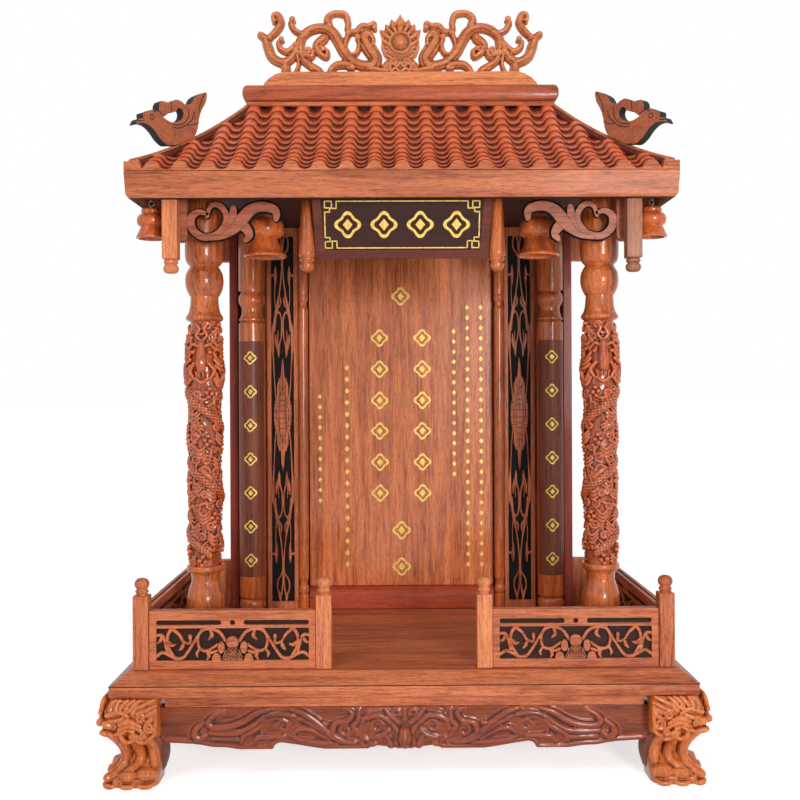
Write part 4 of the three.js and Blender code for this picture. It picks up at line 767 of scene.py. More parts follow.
def lotus_loops():
    """The petals' outlines from the hindmost to the foremost, then the pod, in shares of the height."""
    turns = np.linspace(0, math.tau, 18, endpoint=False)
    loops = [[(side * out + half * math.cos(a), up + tall * math.sin(a)) for a in turns]
             for out, up, half, tall in PETALS for side in ((1, -1) if out else (1,))]
    return loops + [[(-POD[0], 0), (POD[0], 0), (POD[0] * 0.62, POD[1] * 0.86), (0, POD[1]),
                     (-POD[0] * 0.62, POD[1] * 0.86)]]


def fence_panel(low, high, part):
    """A panel in X and Z with its face to the front; part is its fretwork, its black lines of painted shade
    or its backing.
    """
    x0, x1, z0, z1 = low[0], high[0], low[2], high[2]
    front, back = low[1], high[1]
    if part == "backing":
        return block((x0 + 2, front + SKIN, z0 + 3), (x1 - 2, back - SKIN, z1 - 3))
    middle, reach = (x0 + x1) / 2, (x1 - x0) / 2 - STILE
    slots = z1 - SLOT_DOWN
    pocket_low, pocket_top = z0 + POCKET_UP, slots - POCKET_DOWN
    tall = pocket_top - pocket_low
    lotus = [[(middle + out * tall, pocket_low + up * tall) for out, up in loop] for loop in lotus_loops()]
    # Painted shade: fine black lines round the petals and crossing the pod, for cuts.
    if part == "cuts":
        lines = [[(*point, 0.3) for point in [*loop, loop[0]]] for loop in lotus]
        for step in range(-3, 4):
            for way in (-1, 1):
                foot, top = step * 0.1 - way * 0.15, step * 0.1 + way * 0.15
                lines.append([(middle + max(-0.31, min(0.31, foot)) * tall, pocket_low + 0.02 * tall, 0.3),
                              (middle + max(-0.2, min(0.2, top)) * tall, pocket_low + 0.37 * tall, 0.3)])
        return fused(ribbons(lines, front + 0.08, front + 0.5, steps=1, proud=0.001),
                     ribbons(lines, back - 0.5, back - 0.08, steps=1, proud=0.001))
    holes = [slot_hole(middle - reach, middle + reach, pocket_low, pocket_top, 0.4, 1)]
    for sign in (-1, 1):
        ends = sorted((middle + sign * SLOT_FROM, middle + sign * reach))
        holes.append(slot_hole(*ends, slots - SLOT_TALL, slots, 1.7))
    holes.append([(middle + HOLE_ROUND * math.cos(a), slots - SLOT_TALL / 2 + HOLE_ROUND * math.sin(a))
                  for a in np.linspace(0, math.tau, 16, endpoint=False)])
    vines = [rows for sign in (-1, 1) for rows in placed(VINES, middle, pocket_low, sign * reach, tall, 2.7)]
    shape = bmesh.new()
    for face, rear in ((front, front + SKIN), (back - SKIN, back)):
        fused(shape, sawn([(x0, z0), (x1, z0), (x1, z1), (x0, z1)], holes, face, rear),
              ribbons(vines, face + 0.3, rear - 0.3, steps=5, proud=0.004))
        for place, loop in enumerate(lotus):
            fused(shape, sawn(loop, [], face + 0.28 - 0.03 * place, rear - 0.3, 0.1))
    return level_cut(shape, z0, -1, close=False)


def publish_fence(node, low, high, wood, aside):
    """The three layers of a left-hand panel and its twin; aside turns them along the side of the shrine."""
    for part, paint, slot in (("fretwork", wood, "matt_rosewood"), ("cuts", black_backing, "dark_inlay"),
                              ("backing", fence_backing, "dark_inlay")):
        panel = fence_panel(low, high, part)
        if aside:
            plain = swung(panel, -90)
            panel = mirrored(plain, "Y")
            plain.free()
        across(f"{node}_{{}}_{part}", panel, paint)


publish_fence("fence_front", *span("fence_front_left"), matt_wood["X"], False)
low, high = span("fence_side_left")
publish_fence("fence_side", (low[1], -high[0], low[2]), (high[1], -low[0], high[2]), matt_wood["Y"], True)

# Back board: one upright board that closes the niche, with the rear fence, the rear posts and the beam
# above it, as in the CAD node.
board("back_board", matt_wood["Z"])

# Dragon columns: turned rosewood. The shaft between the base and the flare is carved all round with a
# dragon that coils down from its head, among curls, tufts and beads.
COLUMN_HEIGHT, COLUMN_WIDTH = 363.4, 30.4
COLUMN_BASE = [(0, 0.5), (0.016, 0.5), (0.0165, 0.41), (0.022, 0.4), (0.04, 0.345), (0.06, 0.395),
               (0.082, 0.46), (0.107, 0.493), (0.126, 0.48), (0.145, 0.415), (0.159, 0.362), (0.173, 0.37),
               (0.181, 0.4), (0.1815, 0.47), (0.185, 0.487), (0.19, 0.487), (0.194, 0.47), (0.195, 0.36)]
COLUMN_HEAD = [(0.716, 0.33), (0.7225, 0.37), (0.7265, 0.455), (0.7315, 0.485), (0.7365, 0.46), (0.744, 0.41),
               (0.757, 0.373), (0.7755, 0.358), (0.7785, 0.362), (0.781, 0.39), (0.795, 0.465),
               (0.811, 0.495), (0.828, 0.472), (0.841, 0.39), (0.8435, 0.368), (0.846, 0.39),
               (0.853, 0.462), (0.865, 0.495),
               (0.88, 0.5), (1, 0.5)]
low, high = span("dragon_column_left")
column_x, column_y = mid(low, high)
STAND = low[2]
ends = fused(*[turned(rows, COLUMN_HEIGHT, COLUMN_WIDTH, (column_x, column_y, STAND), 64)
               for rows in (COLUMN_BASE, COLUMN_HEAD)])
SHAFT_LOW, SHAFT_HIGH, CORE = 153, 346, 11.2
# The neck's height, how far the body drops from it, where the coils start and how far they turn in
# degrees, and how many rows of scales the body has.
NECK, COIL_DROP, COIL_FROM, COIL_TURN, SCALES = 300, 138, -150, 900, 92


def round_shaft(strokes):
    """Strokes of degrees round the shaft from the front, height, depth over its core and radius."""
    return [[(column_x + (CORE + out) * math.sin(math.radians(turn)),
              column_y - (CORE + out) * math.cos(math.radians(turn)), up, radius)
             for turn, up, out, radius in along(rows, 4)] for rows in strokes]


def body_at(share):
    """The dragon's body coils down the shaft from behind its head: degrees, height, depth and radius."""
    return (COIL_FROM + COIL_TURN * share, NECK - COIL_DROP * share, -1.9, 4.9 - 2.6 * max(0, share - 0.75))


strokes = [[body_at(share) for share in np.linspace(0, 1, 49)]]
for place in range(SCALES):
    turn, up, out, radius = body_at((place + 0.5) / SCALES)
    for column in range(-2, 3):
        lean = math.radians(column * 26 + (13 if place % 2 else 0))
        rise, reach = radius * math.sin(lean), out + radius * math.cos(lean)
        strokes.append([(turn - 2, up + rise, reach - 0.1, 0.8),
                        (turn + 4, up - 0.6 + rise, reach + 0.2, 1.0)])
    if place % 2:
        strokes.append([(turn - 3, up + radius * 0.9, out + 3.0, 1.0),
                        (turn + 5, up + radius + 1.3, out + 3.4, 0.8),
                        (turn + 12, up + radius + 2.6, out + 3.4, 0.5)])
for sign in (-1, 1):
    strokes += [
        [(sign * 26, 321, 2.4, 1.7), (sign * 29, 321, 2.4, 1.7)],
        [(sign * 8, 325, 2.2, 1.3), (sign * 28, 327, 2.8, 1.4), (sign * 48, 322, 2, 0.9)],
        [(sign * 34, 327, 1.8, 1.5), (sign * 50, 333, 2, 1.2), (sign * 54, 340, 1.6, 0.7)],
        [(sign * 4, 330, 1.6, 1.2), (sign * 18, 334, 2.4, 1.3), (sign * 8, 339, 2.2, 1.3),
         (sign * 22, 343, 1.4, 1)],
        [(sign * 22, 312, 2, 1.4), (sign * 38, 306, 2.2, 1.4), (sign * 28, 300, 1.8, 1.2)],
        [(sign * 16, 305, 3, 0.8), (sign * 15, 301.4, 2.8, 0.5)],
        [(sign * 6, 304, 3.4, 0.8), (sign * 6, 300.4, 3.2, 0.5)],
    ]
    for strand in range(7):
        up, sway = 330 - strand * 5, (strand * 5 + (2 if sign > 0 else 0)) % 7 - 3
        strokes.append([(sign * 42, up, 1.6, 1.4), (sign * 60, up - 5 - sway, 2.6, 1.6),
                        (sign * 82, up - 1 + sway, 2.2, 1.5), (sign * (98 + 4 * sway), up - 6, 1.2, 0.9)])
strokes += [[(0, 308, 2.4, 3.6), (0, 316, 2.4, 3.8), (0, 327, 0.8, 3.2)],
            [(-20, 300, 1.8, 1.4), (0, 297, 2.6, 1.6), (20, 300, 1.8, 1.4)]]
random.seed(11)


def motif(kind, turn, up, way, start):
    """One small curl, tuft or cluster of beads, in degrees round the shaft and height."""
    if kind == "curl":
        rows = [[(turn + way * x * 4.6, z, 1.3, thick) for x, z, thick in
                 spiral((0, up), random.uniform(3.3, 4.3), start, 1.4, 1.3)]]
        tail = math.radians(start)
        rows.append([(turn + way * 18 * math.cos(tail), up + 4 * math.sin(tail), 1.3, 1.3),
                     (turn + way * 34 * math.cos(tail + 0.5), up + 7.5 * math.sin(tail + 0.5), 1.7, 1.3),
                     (turn + way * 46 * math.cos(tail + 0.8), up + 9.5 * math.sin(tail + 0.8), 0.6, 0.7)])
        return rows
    if kind == "tuft":
        return [[(turn - way * 20, up + 4 - step * 2.6, 0.8, 0.9), (turn, up - step * 2.9, 2.1, 1.35),
                 (turn + way * 20, up + 3.4 - step * 3, 1.2, 0.8)] for step in range(3)]
    return [[(turn + dx, up + dz, 1.4, 1.7), (turn + dx + 2, up + dz, 1.6, 1.7)]
            for dx, dz in ((-11, 0), (1, 3), (10, -0.8), (-2, -3.4))]


ROWS, PLACES, ROW_STEP = 22, 8, 8.7
for row in range(ROWS):
    for place in range(PLACES):
        turn = place * 360 / PLACES + 22 * (row % 2) + random.uniform(-9, 9)
        up = SHAFT_LOW + 4.5 + row * ROW_STEP + random.uniform(-1.4, 1.4)
        kind = random.choice(("curl", "curl", "tuft", "beads"))
        way, start = random.choice((-1, 1)), random.uniform(0, 360)
        near = min(abs(up - (NECK - COIL_DROP * (turn + lap - COIL_FROM) / COIL_TURN))
                   for lap in range(-720, 1081, 360))
        on_head = 296 < up < 330 and abs((turn + 180) % 360 - 180) < 56
        if near > 4.6 and not on_head:
            strokes += motif(kind, turn, up, way, start)
# Claws: a wrist, and four fingers that spread from it.
for turn, up in ((-20, 262), (30, 222), (-60, 190), (170, 250), (140, 205)):
    strokes.append([(turn - 36, up + 7, 0.6, 2.2), (turn - 14, up + 3, 1.6, 2.2), (turn, up, 2, 2.3)])
    for finger in (-50, -15, 20, 60):
        lean = math.radians(finger)
        strokes.append([(turn, up, 2.2, 1.2), (turn + 18 * math.cos(lean), up + 4 * math.sin(lean), 2.4, 1.1),
                        (turn + 30 * math.cos(lean), up + 5.8 * math.sin(lean) - 1.4, 1.4, 0.5)])
shaft = fused(tubes(round_shaft(strokes), steps=1),
              turned([(0, 0.36), (0.5, 0.375), (1, 0.36)], SHAFT_HIGH - SHAFT_LOW, COLUMN_WIDTH,
                     (column_x, column_y, SHAFT_LOW), 48))
# The carving swells at the head and waves a little all the way down.
for vert in shaft.verts:
    out = Vector((vert.co.x - column_x * MM, vert.co.y - column_y * MM))
    up, turn = vert.co.z / MM, math.atan2(out.y, out.x)
    swell = 2.2 * math.exp(-((up - 309) / 11) ** 2) + 0.8 * math.sin(up / 6.5 + 2 * turn)
    out *= 1 + swell * 0.07
    vert.co.x, vert.co.y = column_x * MM + out.x, column_y * MM + out.y
gloss_wood = rosewood("gloss_rosewood_Z", "Z", (222, 118, 60), (112, 44, 22), 0.28, 0.7)
column_carving = rosewood("column_carving", "Z", (202, 100, 53), (130, 52, 27), 0.24, 0.85, hollow_shade=1)
across("dragon_column_{}_carving", carve(shaft, 0.5, 1, depth=0.3, keep=0.55), column_carving)
across("dragon_column_{}_ends", ends, gloss_wood, stands_for="")

# Couplet columns: turned rosewood, with a darker strip let into the front of each. A row of gilt rosettes
# is painted down each strip.
COUPLET = [(0, 0.5), (0.008, 0.5), (0.012, 0.43), (0.017, 0.484), (0.026, 0.508), (0.036, 0.475),
           (0.041, 0.41), (0.044, 0.41), (0.0445, 0.49), (0.048, 0.5), (0.745, 0.5), (0.7465, 0.49),
           (0.75, 0.43), (0.754, 0.488), (0.758, 0.49), (0.762, 0.443), (0.775, 0.385), (0.786, 0.393),
           (0.791, 0.426), (0.799, 0.488), (0.808, 0.504), (0.817, 0.484), (0.825, 0.418), (0.828, 0.418),
           (0.829, 0.49), (0.831, 0.5), (1, 0.5)]
COUPLET_WIDE, COUPLET_RADIUS = 24.4, 12.2
inlay_low, inlay_high = span("couplet_inlay_left")
inlay_tall = inlay_high[2] - inlay_low[2]
couplet_x, couplet_y = mid(inlay_low, inlay_high)[0], span("couplet_column_left")[1][1] - COUPLET_RADIUS
couplet = turned(COUPLET, COLUMN_HEIGHT, COUPLET_WIDE, (couplet_x, couplet_y, STAND), 64)
across("couplet_column_{}_wood", couplet, gloss_wood)
# The strip: so many degrees round the column, from its radius inside the wood to just outside it.
STRIP_TURN, STRIP_RADIUS, STRIP_THICK = 140, 12.0, 0.32
dark_strip = rosewood("dark_strip", "Z", (140, 74, 52), (80, 40, 30), 0.45, 0.1, pores=0.5)
strip = bmesh.new()
bmesh.ops.create_grid(strip, x_segments=24, y_segments=1, size=0.5)
for vert in strip.verts:
    turn = math.radians(vert.co.x * STRIP_TURN)
    vert.co = ((couplet_x + STRIP_RADIUS * math.sin(turn)) * MM,
               (couplet_y - STRIP_RADIUS * math.cos(turn)) * MM,
               (inlay_low[2] + (vert.co.y + 0.5) * inlay_tall) * MM)
bmesh.ops.recalc_face_normals(strip, faces=strip.faces)
for vert in bmesh.ops.extrude_face_region(strip, geom=strip.faces[:])["geom"]:
    if isinstance(vert, bmesh.types.BMVert):
        away = Vector((vert.co.x - couplet_x * MM, vert.co.y - couplet_y * MM, 0))
        vert.co += away.normalized() * STRIP_THICK * MM
bmesh.ops.recalc_face_normals(strip, faces=strip.faces)
across("couplet_inlay_{}_strip", strip, dark_strip)
gilt, tree, shader = new_paint("gold_line")
settle(shader, Metallic=0.3, Roughness=0.42)
worn = tree.ramp(tree.noise(tree.place(), 700, 3, 0.6), 0.35, 0.7)
gilt.node_tree.links.new(tree.mix(worn, ink(240, 208, 110), ink(206, 162, 60)), shader.inputs["Base Color"])


def rosette(x, z, size):
    """Loops for a four-lobed gilt ring round a lozenge."""
    turns = np.linspace(0, math.tau, 32, endpoint=False)
    loops = []
    for share in (0.5, 0.37):
        loops.append([(x + size * share * (0.86 + 0.14 * math.cos(4 * a)) * math.cos(a),
                       z + size * share * (0.86 + 0.14 * math.cos(4 * a)) * math.sin(a)) for a in turns])
    loops.append([(x + size * 0.18 * math.cos(a), z + size * 0.22 * math.sin(a))
                  for a in np.linspace(0, math.tau, 4, endpoint=False)])
    return loops


# The gilding is drawn flat and bent round the strip.
ROSETTES, ROSETTE_WIDE, GILT_ROUND, GILT_OUT = 7, 12.5, 12.4, 12.55
loops = [loop for place in range(ROSETTES)
         for loop in rosette(0, inlay_low[2] + (place + 0.5) * (inlay_tall / ROSETTES), ROSETTE_WIDE)]
gold = sawn(loops[0], loops[1:], 0, 0.3, 0.04)
for vert in gold.verts:
    turn, reach = vert.co.x / (GILT_ROUND * MM), GILT_OUT * MM - vert.co.y
    vert.co.x = couplet_x * MM + reach * math.sin(turn)
    vert.co.y = couplet_y * MM - reach * math.cos(turn)
across("couplet_inlay_{}_gilding", gold, gilt)

# Slender columns beside the tablet: turned in glossy rosewood, plain between a bead and a ring near each
# end.
SLENDER_END = [(0, 0.5), (0.038, 0.5), (0.041, 0.39), (0.047, 0.5), (0.054, 0.53), (0.062, 0.48),
               (0.066, 0.39), (0.077, 0.4), (0.084, 0.51), (0.089, 0.5)]
slender = [*SLENDER_END, *[(0.87 - up, out) for up, out in reversed(SLENDER_END[1:])], (1, 0.5)]
SLENDER_WIDE = 9.5
slender_place = (*mid(*span("slender_column_left")), STAND)
across("slender_column_{}_wood", turned(slender, COLUMN_HEIGHT, SLENDER_WIDE, slender_place, 32), gloss_wood)

# Niche side boards: two upright boards of redder rosewood with broken edges, as deep in shade as in the
# photograph.
shaded_wood = rosewood("shaded_rosewood_Z", "Z", (152, 58, 40), (92, 34, 23), 0.5, 0.1)
for side in ("left", "right"):
    board(f"niche_side_{side}", shaded_wood)

# Lattice panels: a frame with drawn-out loops round a medallion, sawn from one board and backed with black.
# Fine black lines, painted shade for cuts, draw a pattern on the medallion.
LOOPS = [
    [(6.1, 13.5, 0.7), (7.5, 28, 0.6), (8.3, 44.6, 0.6), (9, 57.5, 0.9), (9.4, 62, 1.6), (9.4, 72, 1.8),
     (9.2, 82, 1.5), (7.9, 88, 0.8), (6.4, 99, 0.9)],
    [(3.4, 54.2, 0.3), (3.7, 59.5, 1.35), (2.9, 66.5, 0.9), (1.3, 73, 0.75), (0.7, 81, 0.75), (0.8, 90, 0.75),
     (2.0, 95.5, 0.8), (3.9, 97.8, 1.0), (6.0, 94.5, 0.9), (7.0, 87, 0.8), (7.6, 80, 1.0)],
    [(3.9, 64, 1.0), (4.7, 70, 0.8), (4.2, 76, 0.5), (4.0, 80, 0.25)],
    [(4.6, 62, 1.1), (6.2, 69, 1.1), (6.4, 76, 0.5)],
    [(5.6, 96, 1.3), (5.2, 101, 1.7), (4.4, 106, 1.2), (2.9, 115, 0.75), (1.5, 126, 0.65), (0.5, 139, 0.7),
     (0.3, 148, 0.9)],
    [(3.8, 102, 0.7), (2.2, 104.5, 0.8), (1.6, 108, 0.8), (2.0, 112, 0.3)],
    [(6.3, 123, 0.3), (6.5, 128, 1.2), (6.6, 134, 1.6), (6.6, 141, 0.5)],
    [(11.5, 132, 1.3), (7.5, 133, 1.2)],
    [(6.9, 126, 0.45), (7.2, 112, 0.4), (6.4, 101, 0.5)],
    [(0.4, 140, 0.8), (1.0, 150, 0.7), (5.2, 158, 0.8), (5.6, 166, 0.7), (3.4, 172, 1.4), (2.4, 180, 0.6)],
    [(0.4, 150, 0.8), (0.6, 160, 0.7), (1.8, 170, 0.9), (3.4, 174, 1.2)],
]
MEDALLION = [(0, 54), (1.1, 48), (1.5, 41), (1.9, 36), (2.7, 33.5), (3.5, 35.5), (4, 31.5), (5.1, 29.5),
             (5.4, 25), (5.2, 20), (5.9, 15.5), (7.3, 12.5), (8.1, 7), (8.4, 0)]
ENGRAVED = [[(-3.4, 12.5), (0, 13.5), (3.4, 12.5)], [(-3.4, 8), (0, 9), (3.4, 8)],
            [(-3.4, 3), (0, 3.6), (3.4, 3)], [(3.4, 15), (3.2, 5), (3.8, 0)], [(3.4, 10), (7.6, 11)],
            [(3.4, 4), (8.2, 3)], [(3.4, 8), (5.4, 6), (6, 0)], [(-1.8, 21), (0, 18), (1.8, 21)],
            [(-1.6, 27), (0, 23), (1.6, 27)], [(3.4, 15), (2.2, 22), (3.2, 29)], [(0, 20), (0, 33)]]
LATTICE_RIM, LATTICE_HALF, LATTICE_SHIFT, CUT_HALF = 8, 10.7, 4, 0.28
low, high = span("lattice_panel_left")
middle, centre = mid(low, high)[0], (low[2] + high[2]) / 2 + LATTICE_SHIFT
hole = slot_hole(middle - LATTICE_HALF, middle + LATTICE_HALF, low[2] + LATTICE_RIM, high[2] - LATTICE_RIM,
                 0.5, 1)
lattice = sawn([(low[0], low[2]), (high[0], low[2]), (high[0], high[2]), (low[0], high[2])], [hole],
               low[1], high[1])
loops = [[(middle + x_sign * x, centre + z_sign * z, half) for x, z, half in rows]
         for x_sign in (-1, 1) for z_sign in (-1, 1) for rows in LOOPS]
medallion = MEDALLION + [(x, -z) for x, z in reversed(MEDALLION[:-1])]
medallion += [(-x, z) for x, z in reversed(medallion[1:-1])]
fused(lattice, ribbons(loops, low[1] + 0.3, low[1] + 3.5, steps=5, proud=0.006),
      sawn([(middle + x, centre + z) for x, z in medallion], [], low[1] + 0.1, low[1] + 3.5, 0.3))
level_cut(lattice, high[2], 1, close=False)
level_cut(lattice, low[2], -1, close=False)
# Painted shade: fine black lines for the cuts on the medallion.
cuts = [[(middle + x_sign * x, centre + z_sign * z, CUT_HALF) for x, z in rows]
        for z_sign in (-1, 1) for x_sign in (-1, 1) for rows in ENGRAVED]
across("lattice_panel_{}_cuts", ribbons(cuts, low[1] - 0.02, low[1] + 0.6, steps=3, proud=0.001),
       black_backing)
across("lattice_panel_{}_fretwork", lattice, matt_wood["Z"])
backing = block((low[0] + 1, low[1] + 3, low[2] + 1), (high[0] - 1, high[1] - 0.5, high[2] - 1))
across("lattice_panel_{}_backing", backing, black_backing)

# Ledge and tablet: an upright rosewood board with bold figure on a redder ledge. Gilt rosettes stand down
# its middle, with columns of small gilt lozenges beside them.
board("tablet_ledge", rosewood("ledge_rosewood", "X", (196, 82, 48), (120, 46, 28), 0.45, 0.15))
board("tablet_board", rosewood("tablet_rosewood", "Z", (240, 142, 90), (148, 66, 34), 0.26, 0.5))


def lozenge(x, z, wide, tall):
    """A loop for a small upright lozenge."""
    return [(x + wide / 2, z), (x, z + tall / 2), (x - wide / 2, z), (x, z - tall / 2)]


# The heights of the rosettes in pairs and alone, and the columns of lozenges: place, foot, top and width.
PAIRED, PAIR_OUT, ALONE = (341, 311, 281, 251.5, 221.6, 191.8), 20.5, (381, 156, 121)
LOZENGES = [(-78, 180, 290, 4), (-52, 118, 318, 4.6), (51, 205, 352, 4), (64, 118, 375, 4), (77, 118, 375, 4)]
marks = [loop for z in PAIRED for x in (-PAIR_OUT, PAIR_OUT) for loop in rosette(x, z, 17)]
marks += [loop for z in ALONE for loop in rosette(0, z, 18)]
for x, foot, top, wide in LOZENGES:
    count = int((top - foot) / (wide * 2.4))
    marks += [lozenge(x, foot + (place + 0.5) * (top - foot) / count, wide, wide * 1.3)
              for place in range(count)]
face = span("tablet_board")[0][1]
publish("tablet_gilding", sawn(marks[0], marks[1:], face - 0.2, face + 0.1, 0.04), gilt,
        stands_for="tablet_board")

# Eave: a rosewood fascia frame closed by a ceiling board, one CAD shape. Its front, its ends and its
# shaded underside have a finish each.
eave = board("eave_frame", matt_wood["X"])
eave.data.materials.clear()
FRONT, END, UNDER = range(3)
for entry in (rosewood("fascia_rosewood", "X", (206, 120, 80), (122, 56, 36), 0.5, 0.08), matt_wood["Y"],
              rosewood("soffit_shade", "X", (74, 38, 28), (42, 20, 16), 0.7)):
    eave.data.materials.append(entry)
for face in eave.data.polygons:
    face.material_index = UNDER if face.normal.z < -0.7 else END if abs(face.normal.x) > 0.7 else FRONT

# Name plaque: a dark board tilted towards the viewer, with a gilt border that turns in a fret at each
# corner. Its field holds four plain gilt rosettes.
PLAQUE_TALL, PLAQUE_TOP, PLAQUE_FOOT, PLAQUE_THICK, PLAQUE_MARGIN = 53, 69.5, 67.2, 8, 7
PLAQUE_TILT, PLAQUE_BEHIND_EAVE = 18, 20
HALF_LENGTH, HALF_DEPTH = span("roof_slope_front")[1][0], -span("roof_slope_front")[0][1]
plaque_low = span("name_plaque")[0]
plaque_paint = rosewood("plaque_rosewood", "X", (114, 52, 38), (74, 32, 26), 0.5, 0.05, pores=0.4)
field_paint = rosewood("plaque_field", "X", (62, 28, 20), (34, 16, 12), 0.55, pores=0.4)


def tilted(shape):
    """Puts a shape drawn flat in X and Z, its face at Y zero, on the tilted plaque."""
    back = -HALF_DEPTH + PLAQUE_BEHIND_EAVE + PLAQUE_TALL * math.sin(math.radians(PLAQUE_TILT))
    return shifted(swung(shape, PLAQUE_TILT, "X"), 0, back, plaque_low[2])


outer, inner = [[(-PLAQUE_FOOT + margin, margin), (PLAQUE_FOOT - margin, margin),
                 (PLAQUE_TOP - margin, PLAQUE_TALL - margin), (-PLAQUE_TOP + margin, PLAQUE_TALL - margin)]
                for margin in (0, PLAQUE_MARGIN)]
publish("name_plaque_frame", tilted(sawn(outer, [inner], 0, PLAQUE_THICK, 0.5)), plaque_paint)
publish("name_plaque_field", tilted(sawn(inner, [], 0.7, PLAQUE_THICK - 0.5, 0.2)), field_paint)
# The fret's lines at one corner, in millimetres inwards and up from it.
LINE, BORDER_X, BORDER_Z = 0.9, 59.6, 18
FRET = [[(9, 0), (BORDER_X, 0)], [(9, 0), (9, 5.4)], [(3.8, 5.4), (9, 5.4)], [(3.8, 5.4), (3.8, 8.2)],
        [(0, 8.2), (3.8, 8.2)], [(0, 8.2), (0, BORDER_Z)], [(0, 0), (5.4, 0)], [(0, 5), (5.4, 5)],
        [(0, 0), (0, 5)], [(5.4, 0), (5.4, 5)]]
middle_z = PLAQUE_TALL / 2
gold = bmesh.new()
for x_sign in (-1, 1):
    for z_sign in (-1, 1):
        for (x0, z0), (x1, z1) in FRET:
            xs = sorted((x_sign * (BORDER_X - x0), x_sign * (BORDER_X - x1)))
            zs = sorted((middle_z + z_sign * (BORDER_Z - z0), middle_z + z_sign * (BORDER_Z - z1)))
            fused(gold, block((xs[0] - LINE / 2, 0.4, zs[0] - LINE / 2),
                              (xs[1] + LINE / 2, 0.8, zs[1] + LINE / 2)))
loops = [loop for x in (-42, -14, 14, 42) for loop in rosette(x, middle_z, 21)]
fused(gold, sawn(loops[0], loops[1:], 0.35, 0.8, 0.05))
publish("name_plaque_gilding", tilted(gold), gilt)

# Pendants and brackets: turned pendants at the ends of the inner beam, square ones with a turned end outside
# them, and scroll brackets in the corners under the eave, their edges outlined in black as painted shade.
PENDANT = [(0, 0.12), (0.02, 0.3), (0.05, 0.4), (0.09, 0.42), (0.12, 0.36), (0.135, 0.4), (0.15, 0.46),
           (0.165, 0.46), (0.175, 0.4), (0.19, 0.44), (0.22, 0.5), (0.4, 0.46), (1, 0.323)]
low, high = span("pendant_inner_left")
across("pendant_inner_{}_wood", turned(PENDANT, 63, 13, (*mid(low, high), low[2]), 40), gloss_wood)
PENDANT_END = [(0, 0.2), (0.04, 0.36), (0.16, 0.46), (0.34, 0.5), (0.5, 0.46), (0.6, 0.38), (0.63, 0.36),
               (0.66, 0.41), (0.72, 0.46), (0.86, 0.46), (0.92, 0.4), (0.94, 0.36), (1, 0.36)]
# The outer pendants are one wood, lit and shaded: the right one's darker finish is painted shade, the left
# one's pale finish painted light.
umber_pendant = rosewood("umber_pendant", "Z", (178, 116, 86), (122, 74, 56), 0.5, 0.1)
low, high = span("pendant_outer_left")
x, y = mid(low, high)
half = min(high[0] - low[0], high[1] - low[1]) / 2
pendant = block((x - half, y - half, low[2] + 10.6), (x + half, y + half, high[2]))
eased(pendant, pendant.edges[:])
fused(pendant, turned(PENDANT_END, 10.9, half * 2, (x, y, low[2]), 32))
publish("pendant_outer_right_wood", mirrored(pendant, "X"), umber_pendant)
publish("pendant_outer_left_wood", pendant, pale_wood)
# The bracket's scrolls in shares of its length and height, with half widths in shares of its height.
BRACKET = [
    [(0.28, 0.66, 0.1), (0.21, 0.7, 0.16), (0.146, 0.6, 0.2), (0.133, 0.415, 0.21), (0.166, 0.227, 0.2),
     (0.233, 0.108, 0.19), (0.306, 0.094, 0.19), (0.387, 0.16, 0.19), (0.45, 0.33, 0.19),
     (0.474, 0.52, 0.155), (0.46, 0.706, 0.155), (0.413, 0.846, 0.155), (0.353, 0.874, 0.145),
     (0.31, 0.78, 0.11), (0.29, 0.6, 0.1)],
    [(0.45, 0.17, 0.06), (0.505, 0.36, 0.15), (0.535, 0.57, 0.21), (0.54, 0.76, 0.18)],
    [(0.61, 0.42, 0.3), (0.67, 0.27, 0.25), (0.69, 0.13, 0.21), (0.665, 0.03, 0.14)],
    [(0.33, 0.05, 0.1), (0.43, 0.1, 0.14), (0.5, 0.185, 0.19), (0.575, 0.35, 0.28), (0.635, 0.55, 0.33),
     (0.695, 0.72, 0.31), (0.77, 0.81, 0.27), (0.85, 0.82, 0.26), (0.925, 0.76, 0.23), (0.952, 0.66, 0.2),
     (0.95, 0.55, 0.16)],
]
# The scrolls' height, how far they hang under the top, and the tab behind them with its rounded foot.
BRACKET_TALL, BRACKET_DROP, TAB_WIDE, TAB_ROUND = 31.7, 8.6, 8, 5
low, high = span("bracket_left")
foot = high[2] - BRACKET_DROP - BRACKET_TALL
strokes = placed(BRACKET, low[0], foot, high[0] - low[0], BRACKET_TALL, BRACKET_TALL * 1.24)
bracket = ribbons(strokes, low[1] + 0.5, high[1] - 0.5, proud=0.12)
tab = [(low[0], high[2]), (low[0], foot - 1),
       *[(low[0] + TAB_WIDE - TAB_ROUND + TAB_ROUND * math.sin(a), foot + 4 - TAB_ROUND * math.cos(a))
         for a in np.linspace(0, math.pi / 2, 7)], (low[0] + TAB_WIDE, high[2])]
fused(bracket, sawn(tab, [], low[1], high[1], 0.4))
bracket_wood = rosewood("bracket_rosewood", "X", (194, 112, 82), (120, 58, 42), 0.45, 0.15)
across("bracket_{}_wood", bracket, bracket_wood)
# Black outlines round each scroll: painted shade along its edges.
outlines = [[(x, z, half + 0.3) for x, z, half in rows] for rows in strokes]
across("bracket_{}_cuts", ribbons(outlines, low[1] + 0.58, high[1] - 0.58, proud=0.12), black_backing)

# Roof slopes: boards carved into tile rows, with overlapping courses that run down to the eave and meet
# at the hips. A shaded channel and a crest run up each hip, and a block stands at each corner.
tile_wood = {grain: rosewood(f"tile_rosewood_{grain}", grain, (232, 118, 76), (158, 64, 38), 0.4, 0.25,
                             hollow_shade=0.8) for grain in "XY"}
slope_low, slope_high = span("roof_slope_front")
EAVE_Z, RIDGE_Z = slope_low[2], slope_high[2]
FRONT_RUN, END_RUN = slope_high[1] - slope_low[1], 79.3
PITCH, COURSES, CREST, EDGE_THICK, SLOPE_THICK = 20.7, 11, 6.4, 6.2, 12
# The half width of a tile's crest, that of the round it is drawn from, and the grid's steps from tile to
# tile.
CREST_HALF, CREST_ROUND, TILE_STEPS = 5.9, 6.0, 14


